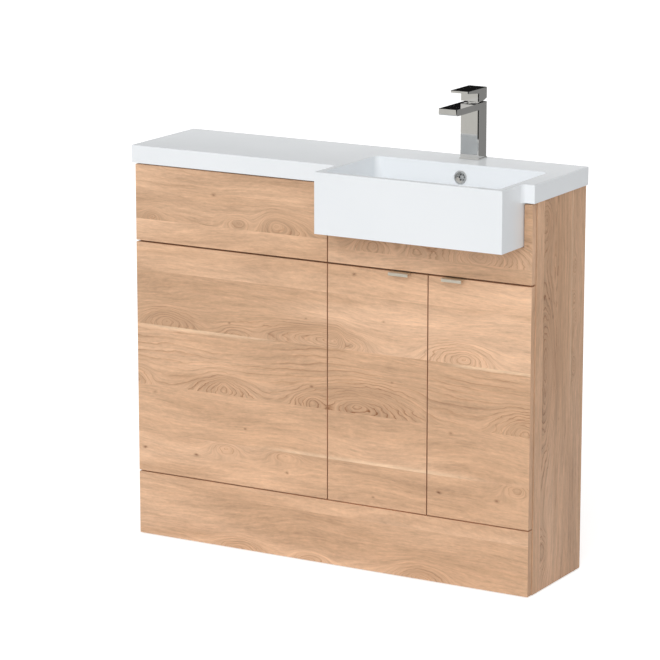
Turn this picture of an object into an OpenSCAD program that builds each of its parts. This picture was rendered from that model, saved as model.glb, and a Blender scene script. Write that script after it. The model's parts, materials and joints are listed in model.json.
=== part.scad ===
// Slimline combination unit: a toilet unit and a vanity unit side by side, under one
// cast top with a semi-recessed rectangular basin and a square mono mixer tap.
// X runs along the wall (0 in the middle), Y runs to the wall, Z runs up from the floor.

/* [Cabinet] */
// Width of each of the two units
unit_w = 500; // [460:5:600]
// Depth from the wall to the faces of the doors
unit_d = 255; // [250:1:330]
// Thickness of the side panels, rails, base and shelf
board_t = 18; // [16:0.5:20]
// Thickness of the glides under the side panels
glide_t = 2; // [1.5:0.5:5]
// Radius of a glide
glide_r = 8; // [5:0.5:8]
// Height of the rails under the top of the toilet unit
top_rail_h = 70; // [50:5:90]
// Height of the rail behind the seam of the toilet unit's two panels
mid_rail_h = 95; // [70:5:120]
// Height of the rail behind the top of the plinth
low_rail_h = 100; // [80:5:130]
// Height of the vanity unit's two back rails
back_rail_h = 90; // [60:5:120]
// Height of the shelf above the vanity unit's base
shelf_rise = 253; // [200:5:300]
// Depth of the shelf
shelf_d = 170; // [140:5:200]

/* [Fronts] */
// Thickness of the doors, panels and plinth
front_t = 18; // [16:0.5:19]
// Space behind the fronts, taken up by pads and bumpers
front_gap = 1.5; // [1:0.1:2]
// Seam between two fronts side by side
seam_w = 3; // [2:0.5:5]
// Seam between the doors and the panels above them
seam_h = 4; // [3:0.5:6]
// Seam between the doors and the plinth
plinth_seam = 3; // [2:0.5:5]
// Seam between the top panels and the worktop
top_seam = 3.5; // [2:0.5:6]
// Height of the plinth
plinth_h = 146.5; // [120:0.5:180]
// Height of the doors
door_h = 534.5; // [500:0.5:545]
// Height of the panels above the doors
upper_h = 173.5; // [160:0.5:220]

/* [Door handles] */
// Width of a folded handle
handle_w = 48; // [30:1:80]
// How far the handle stands out in front of the door
handle_out = 18; // [15:1:30]
// Height of the turned-down lip
handle_lip = 7.5; // [6:0.5:14]
// Sheet thickness of the handle
handle_t = 1.8; // [1:0.1:2.5]
// How far the handle lies on the door's top edge
handle_on = 13; // [10:0.5:15]
// Distance from the door's free edge to the middle of the handle
handle_in = 63.5; // [45:0.5:90]

/* [Hinges] */
// Distance from a door's top or bottom edge to its hinge
hinge_in = 80; // [60:5:110]
// Radius of the hinge cup sunk in the door
cup_r = 17.5; // [17:0.1:18]
// Depth of the hinge cup
cup_h = 11.5; // [11:0.1:12]
// Wood left between the cup and the door's edge
cup_edge = 4; // [3.5:0.1:5]
// Sheet thickness of the cup
cup_t = 0.7; // [0.5:0.1:0.9]
// Thickness of the swinging link
link_t = 2.2; // [1.6:0.1:2.6]
// Height of the swinging link
link_h = 9; // [8:0.5:9.5]
// Radius of the two hinge pins
hinge_pin_r = 1.5; // [1.2:0.1:1.7]
// Distance of the arm's pin from the side panel
arm_out = 15; // [13:0.5:16]
// Distance of the arm's pin behind the side panel's front edge
arm_back = 15; // [13:0.5:18]
// Length of the hinge arm behind its pin
arm_l = 52; // [45:1:60]
// Thickness of the mounting plate under the arm
plate_t = 3; // [2:0.5:4]

/* [Worktop] */
// Thickness of the worktop's edge
top_t = 40; // [36:1:60]
// Overhang of the worktop past each side panel
over_side = 5; // [2:0.5:12]
// Overhang of the worktop past the doors
over_front = 5.5; // [2:0.5:12]
// Thickness of the deck over the hollow underside
deck_t = 14; // [12:1:20]
// Thickness of the rim that stands down round the underside
skirt_t = 12; // [8:0.5:13]

/* [Basin] */
// Distance from each side of the vanity unit to the basin
basin_in = 24; // [20:0.5:60]
// Height of the basin block
basin_h = 135; // [120:1:150]
// How far the basin stands out in front of the doors
basin_out = 100; // [60:1:160]
// Offset of the basin from the middle of the vanity unit
basin_shift = 1; // [-2:0.5:3]
// Thickness of the basin's rims
rim_t = 15.5; // [12:0.5:20]
// Width of the tap ledge from the wall to the bowl
ledge_d = 108.5; // [95:0.5:125]
// Thickness of the bowl's floor at the waste
floor_t = 22; // [20:1:28]
// Fall of the bowl's floor to the waste
floor_fall = 6; // [3:0.5:10]
// How much the bowl's walls lean in on the way down
bowl_lean = 8; // [4:0.5:14]
// Radius of the bowl's upright corners
bowl_corner_r = 14; // [8:1:20]
// Radius between the bowl's walls and its floor
bowl_r = 22; // [14:1:28]
// Radius of the cove where the basin meets the worktop's front edge
cove_r = 11; // [6:0.5:14]
// Distance from the bowl's back wall to the waste
waste_in = 69; // [60:1:90]
// Radius of the waste hole
waste_hole_r = 22.5; // [22:0.1:24]
// Depth of the overflow hole's middle below the rim
overflow_drop = 29.5; // [26:0.5:36]
// Radius of the overflow hole
overflow_r = 13.2; // [11:0.1:14]

/* [Waste] */
// Outside radius of the threaded tail, G1 1/4
tail_r = 20.95; // [20:0.05:21.2]
// Bore radius of the tail
tail_bore_r = 18; // [16:0.5:18.5]
// Length of the tail below its flange
tail_l = 90; // [80:1:100]
// Radius of the waste flange
flange_r = 31.5; // [30:0.5:33]
// Thickness of the waste flange
flange_t = 2; // [1.5:0.1:3]
// Thickness of the rubber washer under the basin
washer_t = 4; // [2:0.5:5]
// Height of the waste nut
waste_nut_h = 10; // [8:0.5:13]
// Height of the plug's cap
plug_h = 4; // [3:0.5:6]

/* [Tap] */
// Width of the tap's body and spout
tap_w = 45; // [38:0.5:50]
// Depth of the tap's body
tap_d = 41; // [38:0.5:46]
// Height of the body's top above the deck
tap_h = 125; // [115:1:150]
// Width of the flats on the tap's upright edges
tap_flat = 2; // [0.5:0.5:3]
// Distance from the wall to the tap's middle
tap_wall = 31; // [30:0.5:36]
// Offset of the tap from the middle of the basin, to the left
tap_shift = 11; // [0:0.5:20]
// Height of the base ring
ring_h = 3; // [2:0.5:5]
// How far the base ring stands out round the body
ring_over = 1.5; // [0.5:0.5:3]
// Reach of the spout in front of the body
spout_l = 102.5; // [90:0.5:130]
// Thickness of the spout
spout_t = 14.5; // [13:0.5:18]
// How far the spout's tip leans back to its underside
spout_lean = 5; // [0:0.5:8]
// Gap between the body and the lever's head
lever_gap = 3.7; // [3:0.1:5]
// Height of the lever's head
lever_h = 28.3; // [26:0.1:34]
// Reach of the lever in front of the body
lever_l = 48; // [35:1:65]
// Thickness of the lever at its tip
lever_tip = 4.6; // [3:0.1:7]
// Thickness of the lever where it leaves the head
lever_root = 9.8; // [8:0.1:12]
// Radius of the cartridge
cartridge_r = 13.8; // [13:0.1:14]
// Radius of the hole for the tap in the deck
tap_hole_r = 17.5; // [17:0.1:18]
// Radius of the spigot that stands in that hole
spigot_r = 16; // [15.5:0.1:16.5]
// Radius of the two threaded inlets under the tap
inlet_r = 4.5; // [4:0.1:5]

/* [Hidden] */
$fn = 48;

oak = [0.85, 0.70, 0.56];
cast_white = [0.95, 0.96, 0.97];
chrome = [0.78, 0.79, 0.80];
alu = [0.74, 0.75, 0.75];
steel = [0.66, 0.67, 0.68];
nylon = [0.90, 0.90, 0.88];
rubber = [0.14, 0.14, 0.15];

// Clearances
slip = 0.05;        // a pin, screw or dowel in its hole
play = 0.3;         // between pieces that move past each other
eps = 0.01;

// Planes of the cabinet
side_h = plinth_h + plinth_seam + door_h + seam_h + upper_h + top_seam;
wall_y = (unit_d + basin_out) / 2;
face_y = wall_y - unit_d;
front_back_y = face_y + front_t;
side_y = front_back_y + front_gap;
side_z = glide_t;
top_z = side_z + side_h;
deck_z = top_z + top_t;
plinth_z = side_z + plinth_h;
door_z = plinth_z + plinth_seam;
door_top = door_z + door_h;
upper_z = door_top + seam_h;
upper_top = top_z - top_seam;

// Planes of the basin
basin_w = unit_w - 2 * basin_in;
basin_x = unit_w / 2 + basin_shift;
basin_y0 = face_y - basin_out;
bowl_y1 = wall_y - ledge_d;
bowl_y0 = basin_y0 + rim_t;
bowl_w = basin_w - 2 * rim_t;
basin_back_y = bowl_y1 + rim_t;
basin_z = deck_z - basin_h;
floor_z = basin_z + floor_t;
waste_y = bowl_y1 - waste_in;
overflow_z = deck_z - overflow_drop;
// Lean of the bowl's walls: a line from the rim that touches the corner spheres
wall_h = basin_h - floor_t - floor_fall - bowl_r;
wall_a = atan2(bowl_lean + bowl_r, wall_h) - asin(bowl_r / norm([bowl_lean + bowl_r, wall_h]));
overflow_y = bowl_y1 - overflow_drop * tan(wall_a);
tap_x = basin_x - tap_shift;
tap_y = wall_y - tap_wall;

// Boards between the side panels: [x0, x1, y0, y1, z0, z1, side of the cams],
// the cams being in the back (1), the front (-1) or the underside (0) of the board
base_top = plinth_z + board_t;
front_rail_z1 = basin_z - 10;
inner_wc = [-unit_w + board_t, -board_t];
inner_van = [board_t, unit_w - board_t];
wc_top_front = rail(inner_wc, side_y, top_z - top_rail_h, top_z, 1);
wc_top_back = rail(inner_wc, wall_y - board_t, top_z - top_rail_h, top_z, -1);
wc_mid = rail(inner_wc, side_y, upper_z - mid_rail_h / 2, upper_z + mid_rail_h / 2, 1);
wc_low = rail(inner_wc, side_y, plinth_z - low_rail_h * 0.4, plinth_z + low_rail_h * 0.6, 1);
van_base = [inner_van[0], inner_van[1], side_y, wall_y, plinth_z, base_top, 0];
van_back_top = rail(inner_van, wall_y - board_t, top_z - back_rail_h, top_z, -1);
van_back_low = rail(inner_van, wall_y - board_t, base_top, base_top + back_rail_h, -1);
van_front = rail(inner_van, side_y, door_top - board_t, front_rail_z1, 1);
wc_boards = [wc_top_front, wc_top_back, wc_mid, wc_low];
van_boards = [van_base, van_back_top, van_back_low, van_front];

// Dowels and cam fittings in the ends of the boards
dowel_r = 4;
dowel_l = 30;
dowel_in_side = 12;
dowel_edge = 16;
cam_r = 7.5;
cam_h = 12.5;
cam_in = 24;
cam_bolt_r = 3;
cam_bolt_in_side = 11;

// Screws that hold the fixed fronts, and the pads they pass through
panel_screw_r = 2;
panel_screw_bite = 12;
panel_head_r = 4;
panel_head_h = 2;
spacer_r = 8;
mid_screw_z = (wc_mid[4] + door_top) / 2;
low_screw_z = (door_z + wc_low[5]) / 2;
fascia_screw_z = (upper_z + front_rail_z1) / 2;
screw_inset = 90;
panel_screw_spots = [
    for (x = [-unit_w + screw_inset, -screw_inset], z = [mid_screw_z, low_screw_z]) [x, z],
    for (x = [screw_inset, unit_w - screw_inset]) [x, fascia_screw_z]
];

// Push-in studs that hold the access panel
stud_r = 3;
stud_neck_r = 2;
stud_l = 9;
stud_flange_r = 6;
socket_wall = 1.2;
socket_bore_r = stud_r + 2 * play;
socket_r = socket_bore_r + socket_wall;
socket_l = stud_l + 2;
stud_spots = [
    for (x = [-unit_w + screw_inset, -screw_inset],
         z = [upper_z + mid_rail_h / 4, top_z - top_rail_h / 2]) [x, z]
];

// Hinge places
hinge_zs = [door_z + hinge_in, door_top - hinge_in];
door_x0 = seam_w / 2;
door_w = unit_w / 2 - seam_w;
arm_pin = [board_t + arm_out, side_y + arm_back];
cup_pin = [door_x0 + cup_edge + 4.5, front_back_y - 4];
cup_x = door_x0 + cup_edge + cup_r;
barrel_r = hinge_pin_r + 1.3;
ear_t = 1.2;
ear_gap = link_h / 2 + play;
ear_h = ear_gap + ear_t;
plate_screw_y = side_y + 37;
plate_front_l = 17;
plate_back_l = 25;
plate_wing_r = 6;
plate_screw_z = 16;
euro_r = 2.5;
euro_l = 12;
shelf_z = base_top + shelf_rise;
shelf_y0 = side_y + 20;
shelf_gap = 0.5;
pin_r = 2.5;
pin_l = 16;
shelf_pin_ys = [shelf_y0 + 25, shelf_y0 + shelf_d - 25];
shelf_pin_z = shelf_z - pin_r;

// Fixings between the units, to the wall and to the plinth
connector_r = 4;
connector_head_r = 7;
connector_head_h = 1.5;
connector_spots = [for (z = [0.36, 0.6, 0.84], y = [0.25, 0.75])
    [side_y + y * (wall_y - side_y), side_z + z * side_h]];
bracket_leg = 25;
bracket_w = 20;
bracket_t = 2;
bracket_below_rail = 57;
bracket_z = top_z - back_rail_h - bracket_below_rail;
bracket_hole_r = 2.75;
bracket_screw_r = 2;
bracket_screw_l = 14;
bracket_head_r = 3.6;
bracket_head_h = 1.8;
bracket_hole_in = bracket_leg * 0.6;
clip_w = 22;
clip_h = 34;
clip_z = side_z + plinth_h / 2;
bumper_t = front_gap - 0.2;
bumper_r = 4;
bumper_x = 15;
nail_r = 1.5;
nail_l = 12;
glide_ys = [side_y + 25, wall_y - 25];

// Heights in the tap, above the deck
spout_z = tap_h - spout_t;
head_z = tap_h + lever_gap;
lever_top = head_z + lever_h;
pivot_z = tap_h - 8;
cartridge_z = tap_h - 42;
neck_z = tap_h - 12;
yoke_r = 9.2;
yoke_z = pivot_z - 9;
yoke_top = pivot_z + 2.5;
stem_w = 8;
stem_z = pivot_z - 5;
stem_top = head_z + 16;
spigot_l = 10;
stud_y = 11.5;
stud_drop = 38;
tap_stud_r = 3;
clamp_t = 3;
inlet_x = 8;
inlet_y = -3;
inlet_l = 14;
aerator_r = 11;
aerator_h = 9;
aerator_y = -tap_d / 2 - spout_l + 18;
lever_screw_z = head_z + 10;
lever_screw_r = 2.5;
lever_plug_r = 3.5;
lever_plug_t = 1.5;

function rail(xs, y, z0, z1, side) = [xs[0], xs[1], y, y + board_t, z0, z1, side];
function bezier(a, b, c, t) = (1 - t) * (1 - t) * a + 2 * (1 - t) * t * b + t * t * c;
function unit(v) = v / norm(v);
function left_of(v) = [-v[1], v[0]];

// ---------- helpers ----------

// A box from one corner to the other
module span(x0, x1, y0, y1, z0, z1) {
    translate([x0, y0, z0]) cube([x1 - x0, y1 - y0, z1 - z0]);
}

module board(b) { span(b[0], b[1], b[2], b[3], b[4], b[5]); }

// A cylinder along Y, from y to y + l
module rod_y(x, y, z, r, l) {
    translate([x, y, z]) rotate([-90, 0, 0]) cylinder(r = r, h = l);
}

// A cylinder along X, from x to x + l
module rod_x(x, y, z, r, l) {
    translate([x, y, z]) rotate([0, 90, 0]) cylinder(r = r, h = l);
}

// Children at both ends of a board, their Z pointing out of the end
module at_ends(b) {
    y = (b[2] + b[3]) / 2;
    z = (b[4] + b[5]) / 2;
    translate([b[0], y, z]) rotate([0, -90, 0]) children();
    translate([b[1], y, z]) rotate([0, 90, 0]) children();
}

// Children at both dowels of each end of a board
module at_dowels(b) {
    flat = b[6] == 0;
    reach = (flat ? b[3] - b[2] : b[5] - b[4]) / 2 - dowel_edge;
    for (s = [-1, 1]) at_ends(b) translate(flat ? [0, s * reach, 0] : [s * reach, 0, 0]) children();
}

module at_both_doors() {
    children();
    mirror_door() children();
}

module mirror_door() { translate([unit_w, 0, 0]) mirror([1, 0, 0]) children(); }

module joint_holes(boards) {
    for (b = boards) {
        at_dowels(b) translate([0, 0, dowel_in_side - dowel_l - slip])
            cylinder(r = dowel_r + slip, h = dowel_l + 2 * slip);
        at_ends(b) translate([0, 0, -cam_in])
            cylinder(r = cam_bolt_r + slip, h = cam_in + cam_bolt_in_side + slip);
        cams(b, slip);
    }
}

// The round cam bodies in one board, grown by g for their pockets
module cams(b, g) {
    y = b[6] == -1 ? b[2] : b[6] == 1 ? b[3] : (b[2] + b[3]) / 2;
    z = b[6] == 0 ? b[4] : (b[4] + b[5]) / 2;
    tilt = b[6] == -1 ? [-90, 0, 0] : b[6] == 1 ? [90, 0, 0] : [0, 0, 0];
    for (x = [b[0] + cam_in, b[1] - cam_in])
        translate([x, y, z]) rotate(tilt) translate([0, 0, -g]) cylinder(r = cam_r + g, h = cam_h + 2 * g);
}

module drilled_board(b) {
    difference() {
        board(b);
        joint_holes([b]);
        panel_screw_holes();
        socket_holes();
    }
}

module panel_screw_holes() {
    for (s = panel_screw_spots)
        rod_y(s[0], front_back_y - panel_screw_bite, s[1], panel_screw_r + slip,
            front_t + front_gap + board_t + panel_screw_bite);
}

module socket_holes() {
    for (s = stud_spots) rod_y(s[0], side_y - eps, s[1], socket_r + slip, socket_l + eps);
}

// ---------- cabinet ----------

// A side panel from x to x + board_t, drilled for its boards and glides
module side_panel(x, boards) {
    difference() {
        span(x, x + board_t, side_y, wall_y, side_z, top_z);
        joint_holes(boards);
        for (y = glide_ys) translate([x + board_t / 2, y, side_z - eps])
            cylinder(r = nail_r + slip, h = nail_l + slip + eps);
    }
}

module bracket_screw_holes(s, x) {
    rod_x(x - (s > 0 ? bracket_screw_l : 0), wall_y - bracket_hole_in, bracket_z,
        bracket_screw_r + slip, bracket_screw_l);
}

module wc_side_left() {
    color(oak) difference() {
        side_panel(-unit_w, wc_boards);
        bracket_screw_holes(1, -unit_w + board_t);
    }
}

module wc_side_right() {
    color(oak) difference() {
        side_panel(-board_t, wc_boards);
        bracket_screw_holes(-1, -board_t);
        connector_holes();
    }
}

module vanity_side_left() {
    color(oak) difference() {
        side_panel(0, van_boards);
        bracket_screw_holes(1, board_t);
        connector_holes();
        vanity_holes();
    }
}

module vanity_side_right() {
    color(oak) difference() {
        side_panel(unit_w - board_t, van_boards);
        bracket_screw_holes(-1, unit_w - board_t);
        mirror_door() vanity_holes();
    }
}

// Holes for the hinge plates and the shelf pins
module vanity_holes() {
    for (z = hinge_zs, s = [-1, 1])
        rod_x(board_t - euro_l - slip, plate_screw_y, z + s * plate_screw_z, euro_r + slip, euro_l + 1);
    for (y = shelf_pin_ys)
        rod_x(board_t - pin_l / 2 - slip, y, shelf_pin_z, pin_r + slip, pin_l);
}

module connector_holes() {
    for (c = connector_spots) rod_x(-board_t - 1, c[0], c[1], connector_r + slip, 2 * board_t + 2);
}

module unit_connectors() {
    color(steel) for (c = connector_spots) {
        rod_x(-board_t - eps, c[0], c[1], connector_r, 2 * board_t + 2 * eps);
        for (x = [-board_t - connector_head_h, board_t])
            rod_x(x, c[0], c[1], connector_head_r, connector_head_h);
    }
}

module glides() {
    color(nylon) for (x = [-unit_w, -board_t, 0, unit_w - board_t], y = glide_ys)
        translate([x + board_t / 2, y, 0]) {
            cylinder(r = glide_r, h = glide_t);
            cylinder(r = nail_r, h = glide_t + nail_l);
        }
}

module wc_top_rails() {
    color(oak) {
        drilled_board(wc_top_front);
        drilled_board(wc_top_back);
    }
}

module wc_mid_rail() { color(oak) drilled_board(wc_mid); }

module wc_low_rail() { color(oak) drilled_board(wc_low); }

module vanity_base() { color(oak) drilled_board(van_base); }

module vanity_back_rails() {
    color(oak) {
        drilled_board(van_back_top);
        drilled_board(van_back_low);
    }
}

module vanity_front_rail() { color(oak) drilled_board(van_front); }

module dowels() {
    color([0.80, 0.68, 0.48]) for (b = concat(wc_boards, van_boards))
        at_dowels(b) translate([0, 0, dowel_in_side - dowel_l]) cylinder(r = dowel_r, h = dowel_l);
}

module cam_fittings() {
    color(steel) for (b = concat(wc_boards, van_boards)) {
        cams(b, 0);
        at_ends(b) translate([0, 0, -cam_in + cam_r / 2])
            cylinder(r = cam_bolt_r, h = cam_in - cam_r / 2 + cam_bolt_in_side);
    }
}

module vanity_shelf() {
    color(oak) span(inner_van[0] + shelf_gap, inner_van[1] - shelf_gap,
        shelf_y0, shelf_y0 + shelf_d, shelf_z, shelf_z + board_t);
}

module shelf_pins() {
    color(steel) at_both_doors() for (y = shelf_pin_ys)
        rod_x(board_t - pin_l / 2, y, shelf_pin_z, pin_r, pin_l);
}

// ---------- fixed fronts ----------

// Panel over the doors, cut out so that the basin stands through it
module vanity_fascia() {
    notch = basin_w / 2 + 2;
    color(oak) difference() {
        span(seam_w / 2, unit_w - seam_w / 2, face_y, front_back_y, upper_z, upper_top);
        span(basin_x - notch, basin_x + notch, face_y - 1, front_back_y + 1, basin_z - 2, upper_top + 1);
        panel_screw_holes();
    }
}

module wc_lower_panel() {
    color(oak) difference() {
        span(-unit_w + seam_w / 2, -seam_w / 2, face_y, front_back_y, door_z, door_top);
        panel_screw_holes();
    }
}

module plinth() {
    color(oak) span(-unit_w + seam_w / 2, unit_w - seam_w / 2, face_y, front_back_y, side_z, plinth_z);
}

// Plastic blocks between the side panels and the plinth's back
module plinth_clips() {
    color(nylon) for (x = [inner_wc[0], inner_wc[1] - clip_w, inner_van[0], inner_van[1] - clip_w])
        difference() {
            span(x, x + clip_w, front_back_y, front_back_y + clip_w,
                clip_z - clip_h / 2, clip_z + clip_h / 2);
            span(x + 3, x + clip_w - 3, front_back_y + 3, front_back_y + clip_w + 1,
                clip_z - clip_h / 2 + 3, clip_z + clip_h / 2 - 3);
        }
}

module panel_spacers() {
    color(nylon) for (s = panel_screw_spots) difference() {
        rod_y(s[0], front_back_y, s[1], spacer_r, front_gap);
        rod_y(s[0], front_back_y - 1, s[1], panel_screw_r + slip, front_gap + 2);
    }
}

module panel_screws() {
    shank = panel_screw_bite + front_gap + board_t;
    color(steel) for (s = panel_screw_spots) {
        rod_y(s[0], front_back_y - panel_screw_bite, s[1], panel_screw_r, shank + eps);
        difference() {
            rod_y(s[0], side_y + board_t, s[1], panel_head_r, panel_head_h);
            translate([s[0], side_y + board_t + panel_head_h, s[1]])
                for (a = [0, 90]) rotate([0, a, 0]) cube([4.4, 2, 1], center = true);
        }
    }
}

module door_bumpers() {
    color(nylon) for (s = [-1, 1], z = [plinth_z + board_t / 2, door_top - board_t / 2])
        rod_y(unit_w / 2 + s * bumper_x, side_y - bumper_t, z, bumper_r, bumper_t);
}

// The inner face of each side panel at its back, and which way its inside lies
bracket_places = [[inner_wc[0], 1], [inner_wc[1], -1], [inner_van[0], 1], [inner_van[1], -1]];

// Angle brackets that hold the cabinet to the wall
module wall_brackets() {
    color(steel) for (p = bracket_places)
        translate([p[0], wall_y, bracket_z]) mirror([p[1] > 0 ? 0 : 1, 0, 0]) difference() {
            union() {
                translate([0, -bracket_leg, -bracket_w / 2]) cube([bracket_t, bracket_leg, bracket_w]);
                translate([0, -bracket_t, -bracket_w / 2]) cube([bracket_leg, bracket_t, bracket_w]);
            }
            rod_x(-1, -bracket_hole_in, 0, bracket_screw_r + slip, bracket_t + 2);
            rod_y(bracket_hole_in, -bracket_t - 1, 0, bracket_hole_r, bracket_t + 2);
        }
}

module bracket_screws() {
    color(steel) for (p = bracket_places)
        translate([p[0], wall_y - bracket_hole_in, bracket_z]) rotate([0, p[1] * 90, 0]) {
            translate([0, 0, slip - bracket_screw_l])
                cylinder(r = bracket_screw_r, h = bracket_screw_l + bracket_t);
            translate([0, 0, bracket_t]) cylinder(r = bracket_head_r, h = bracket_head_h);
        }
}

// ---------- access panel of the toilet unit ----------

module wc_access_panel() {
    color(oak) difference() {
        span(-unit_w + seam_w / 2, -seam_w / 2, face_y, front_back_y, upper_z, upper_top);
        for (s = stud_spots) rod_y(s[0], front_back_y - 10, s[1], stud_neck_r + slip, 11);
    }
}

module panel_studs() {
    color(nylon) for (s = stud_spots) translate([s[0], front_back_y, s[1]]) rotate([-90, 0, 0]) {
        translate([0, 0, -10 + slip]) cylinder(r = stud_neck_r, h = 10 + stud_l - stud_r);
        cylinder(r = stud_flange_r, h = 1);
        translate([0, 0, stud_l - stud_r]) sphere(r = stud_r);
    }
}

module panel_sockets() {
    color(nylon) for (s = stud_spots) difference() {
        rod_y(s[0], side_y, s[1], socket_r, socket_l);
        rod_y(s[0], side_y - 1, s[1], socket_bore_r, socket_l);
    }
}

// ---------- doors ----------

module door() {
    color(oak) difference() {
        span(door_x0, door_x0 + door_w, face_y, front_back_y, door_z, door_top);
        for (z = hinge_zs) {
            rod_y(cup_x, front_back_y - cup_h - slip, z, cup_r + slip, cup_h + 1);
            for (s = [-1, 1]) rod_y(cup_x + 9.5, front_back_y - cup_h, z + s * 22.5, 4 + slip, cup_h + 1);
        }
        handle_screw_places() translate([0, 0, -16]) cylinder(r = 1.6 + slip, h = 17);
    }
}

module handle_screw_places() {
    for (s = [-1, 1]) translate([door_x0 + door_w - handle_in + s * handle_w * 0.3,
        face_y + handle_on * 0.55, door_top]) children();
}

// A strip of sheet folded down at its front edge, screwed on the door's top edge
module handle() {
    r = 2 * handle_t;
    x0 = door_x0 + door_w - handle_in - handle_w / 2;
    lip_y = face_y - handle_out;
    color(alu) difference() {
        translate([x0, 0, door_top + handle_t]) rotate([90, 0, 90]) linear_extrude(handle_w) {
            translate([lip_y + r, -handle_t]) square([handle_out + handle_on - r, handle_t]);
            translate([lip_y, -handle_lip]) square([handle_t, handle_lip - r]);
            translate([lip_y + r, -r]) intersection() {
                difference() {
                    circle(r = r);
                    circle(r = r - handle_t);
                }
                translate([-r, 0]) square([r, r]);
            }
        }
        handle_screw_places() translate([0, 0, -1]) cylinder(r = 1.6 + slip, h = handle_t + 2);
        handle_screw_places() translate([0, 0, handle_t - 1.3]) cylinder(r1 = 1.65, r2 = 3, h = 1.35);
    }
}

module handle_screws() {
    color(steel) handle_screw_places() {
        translate([0, 0, -15.9]) cylinder(r = 1.6, h = 15.9 + handle_t - 1.2);
        translate([0, 0, handle_t - 1.25]) cylinder(r1 = 1.6, r2 = 2.9, h = 1.25);
    }
}

// Pressed cup with two moulded dowels and ears for the link's pin
module hinge_cups() {
    color(steel) for (z = hinge_zs) translate([0, 0, z]) {
        difference() {
            union() {
                rod_y(cup_x, front_back_y - cup_h, 0, cup_r, cup_h);
                for (s = [-1, 1]) rod_y(cup_x + 9.5, front_back_y - cup_h + 1, s * 22.5, 4, cup_h - 1);
                span(cup_x + 3, cup_x + 16, front_back_y, front_back_y + 0.8, -27, 27);
            }
            rod_y(cup_x, front_back_y - cup_h + cup_t, 0, cup_r - cup_t, cup_h + 2);
        }
        for (s = [-1, 1]) translate([0, 0, s > 0 ? ear_gap : -ear_h]) linear_extrude(ear_t) {
            translate(cup_pin) circle(r = barrel_r - 0.4);
            translate([cup_pin[0] - barrel_r + 0.4, front_back_y - cup_h + cup_t / 2])
                square([2 * barrel_r - 0.8, cup_h - cup_t / 2 - 2.5]);
        }
        translate([cup_pin[0], cup_pin[1], -ear_h]) cylinder(r = hinge_pin_r, h = 2 * ear_h);
    }
}

// Gooseneck link: from the arm's pin it runs out, bends into the cup and turns to the cup's pin
module hinge_links() {
    bend = [arm_pin[0] - 9.5, cup_pin[1] - 13.2];
    steps = 14;
    side = [for (i = [0:steps]) let (t = i / steps,
        p = bezier(arm_pin, bend, cup_pin, t),
        d = unit((1 - t) * (bend - arm_pin) + t * (cup_pin - bend))) [p, left_of(d) * link_t / 2]];
    outline = concat([for (s = side) s[0] + s[1]], [for (i = [steps:-1:0]) side[i][0] - side[i][1]]);
    color(steel) for (z = hinge_zs) translate([0, 0, z - link_h / 2]) difference() {
        linear_extrude(link_h) union() {
            polygon(outline);
            translate(arm_pin) circle(r = barrel_r);
            translate(cup_pin) circle(r = barrel_r);
        }
        for (p = [arm_pin, cup_pin]) translate([p[0], p[1], -1])
            cylinder(r = hinge_pin_r + slip, h = link_h + 2);
    }
}

// Channel-shaped arm, open to the side panel, its two ears holding the arm's pin
module hinge_arms() {
    x0 = board_t + plate_t;
    back_y = arm_pin[1] + arm_l;
    ear_r = barrel_r + 0.8;
    crest = [[arm_pin[0] + ear_r, arm_pin[1]], [arm_pin[0] + 1, arm_pin[1] + 14], [x0 + 7, back_y]];
    outline = concat([[x0, back_y], [x0, arm_pin[1] + 14], [arm_pin[0] - ear_r, arm_pin[1]]], crest);
    hollow = [[x0 - 1, back_y + 1], [x0 - 1, arm_pin[1] - 10], [arm_pin[0] + 10, arm_pin[1] - 10],
        [arm_pin[0] + 10, arm_pin[1] + 7], [arm_pin[0] + 2, arm_pin[1] + 7],
        [arm_pin[0] + 1 - ear_t, arm_pin[1] + 14], [x0 + 7 - ear_t, back_y + 1]];
    color(steel) at_both_doors() for (z = hinge_zs) translate([0, 0, z]) {
        difference() {
            translate([0, 0, -ear_h]) linear_extrude(2 * ear_h) union() {
                polygon(outline);
                translate(arm_pin) circle(r = ear_r);
            }
            translate([0, 0, -ear_gap]) linear_extrude(2 * ear_gap) polygon(hollow);
        }
        translate([arm_pin[0], arm_pin[1], -ear_h]) cylinder(r = hinge_pin_r, h = 2 * ear_h);
    }
}

module hinge_plates() {
    color(steel) at_both_doors() for (z = hinge_zs) difference() {
        union() {
            span(board_t, board_t + plate_t, plate_screw_y - plate_front_l, plate_screw_y + plate_back_l,
                z - ear_h, z + ear_h);
            span(board_t, board_t + plate_t, plate_screw_y - plate_wing_r, plate_screw_y + plate_wing_r,
                z - plate_screw_z, z + plate_screw_z);
            for (s = [-1, 1]) rod_x(board_t, plate_screw_y, z + s * plate_screw_z, plate_wing_r, plate_t);
        }
        for (s = [-1, 1])
            rod_x(board_t - 1, plate_screw_y, z + s * plate_screw_z, euro_r + slip, plate_t + 2);
    }
}

module hinge_plate_screws() {
    color(steel) at_both_doors() for (z = hinge_zs, s = [-1, 1]) {
        rod_x(board_t - euro_l, plate_screw_y, z + s * plate_screw_z, euro_r, euro_l + plate_t);
        rod_x(board_t + plate_t, plate_screw_y, z + s * plate_screw_z, 4.2, 1.6);
    }
}

module door_left() { door(); }
module door_right() { mirror_door() door(); }
module handle_left() { handle(); }
module handle_right() { mirror_door() handle(); }
module handle_screws_left() { handle_screws(); }
module handle_screws_right() { mirror_door() handle_screws(); }
module hinge_cups_left() { hinge_cups(); }
module hinge_cups_right() { mirror_door() hinge_cups(); }
module hinge_links_left() { hinge_links(); }
module hinge_links_right() { mirror_door() hinge_links(); }

// ---------- worktop with basin ----------

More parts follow.
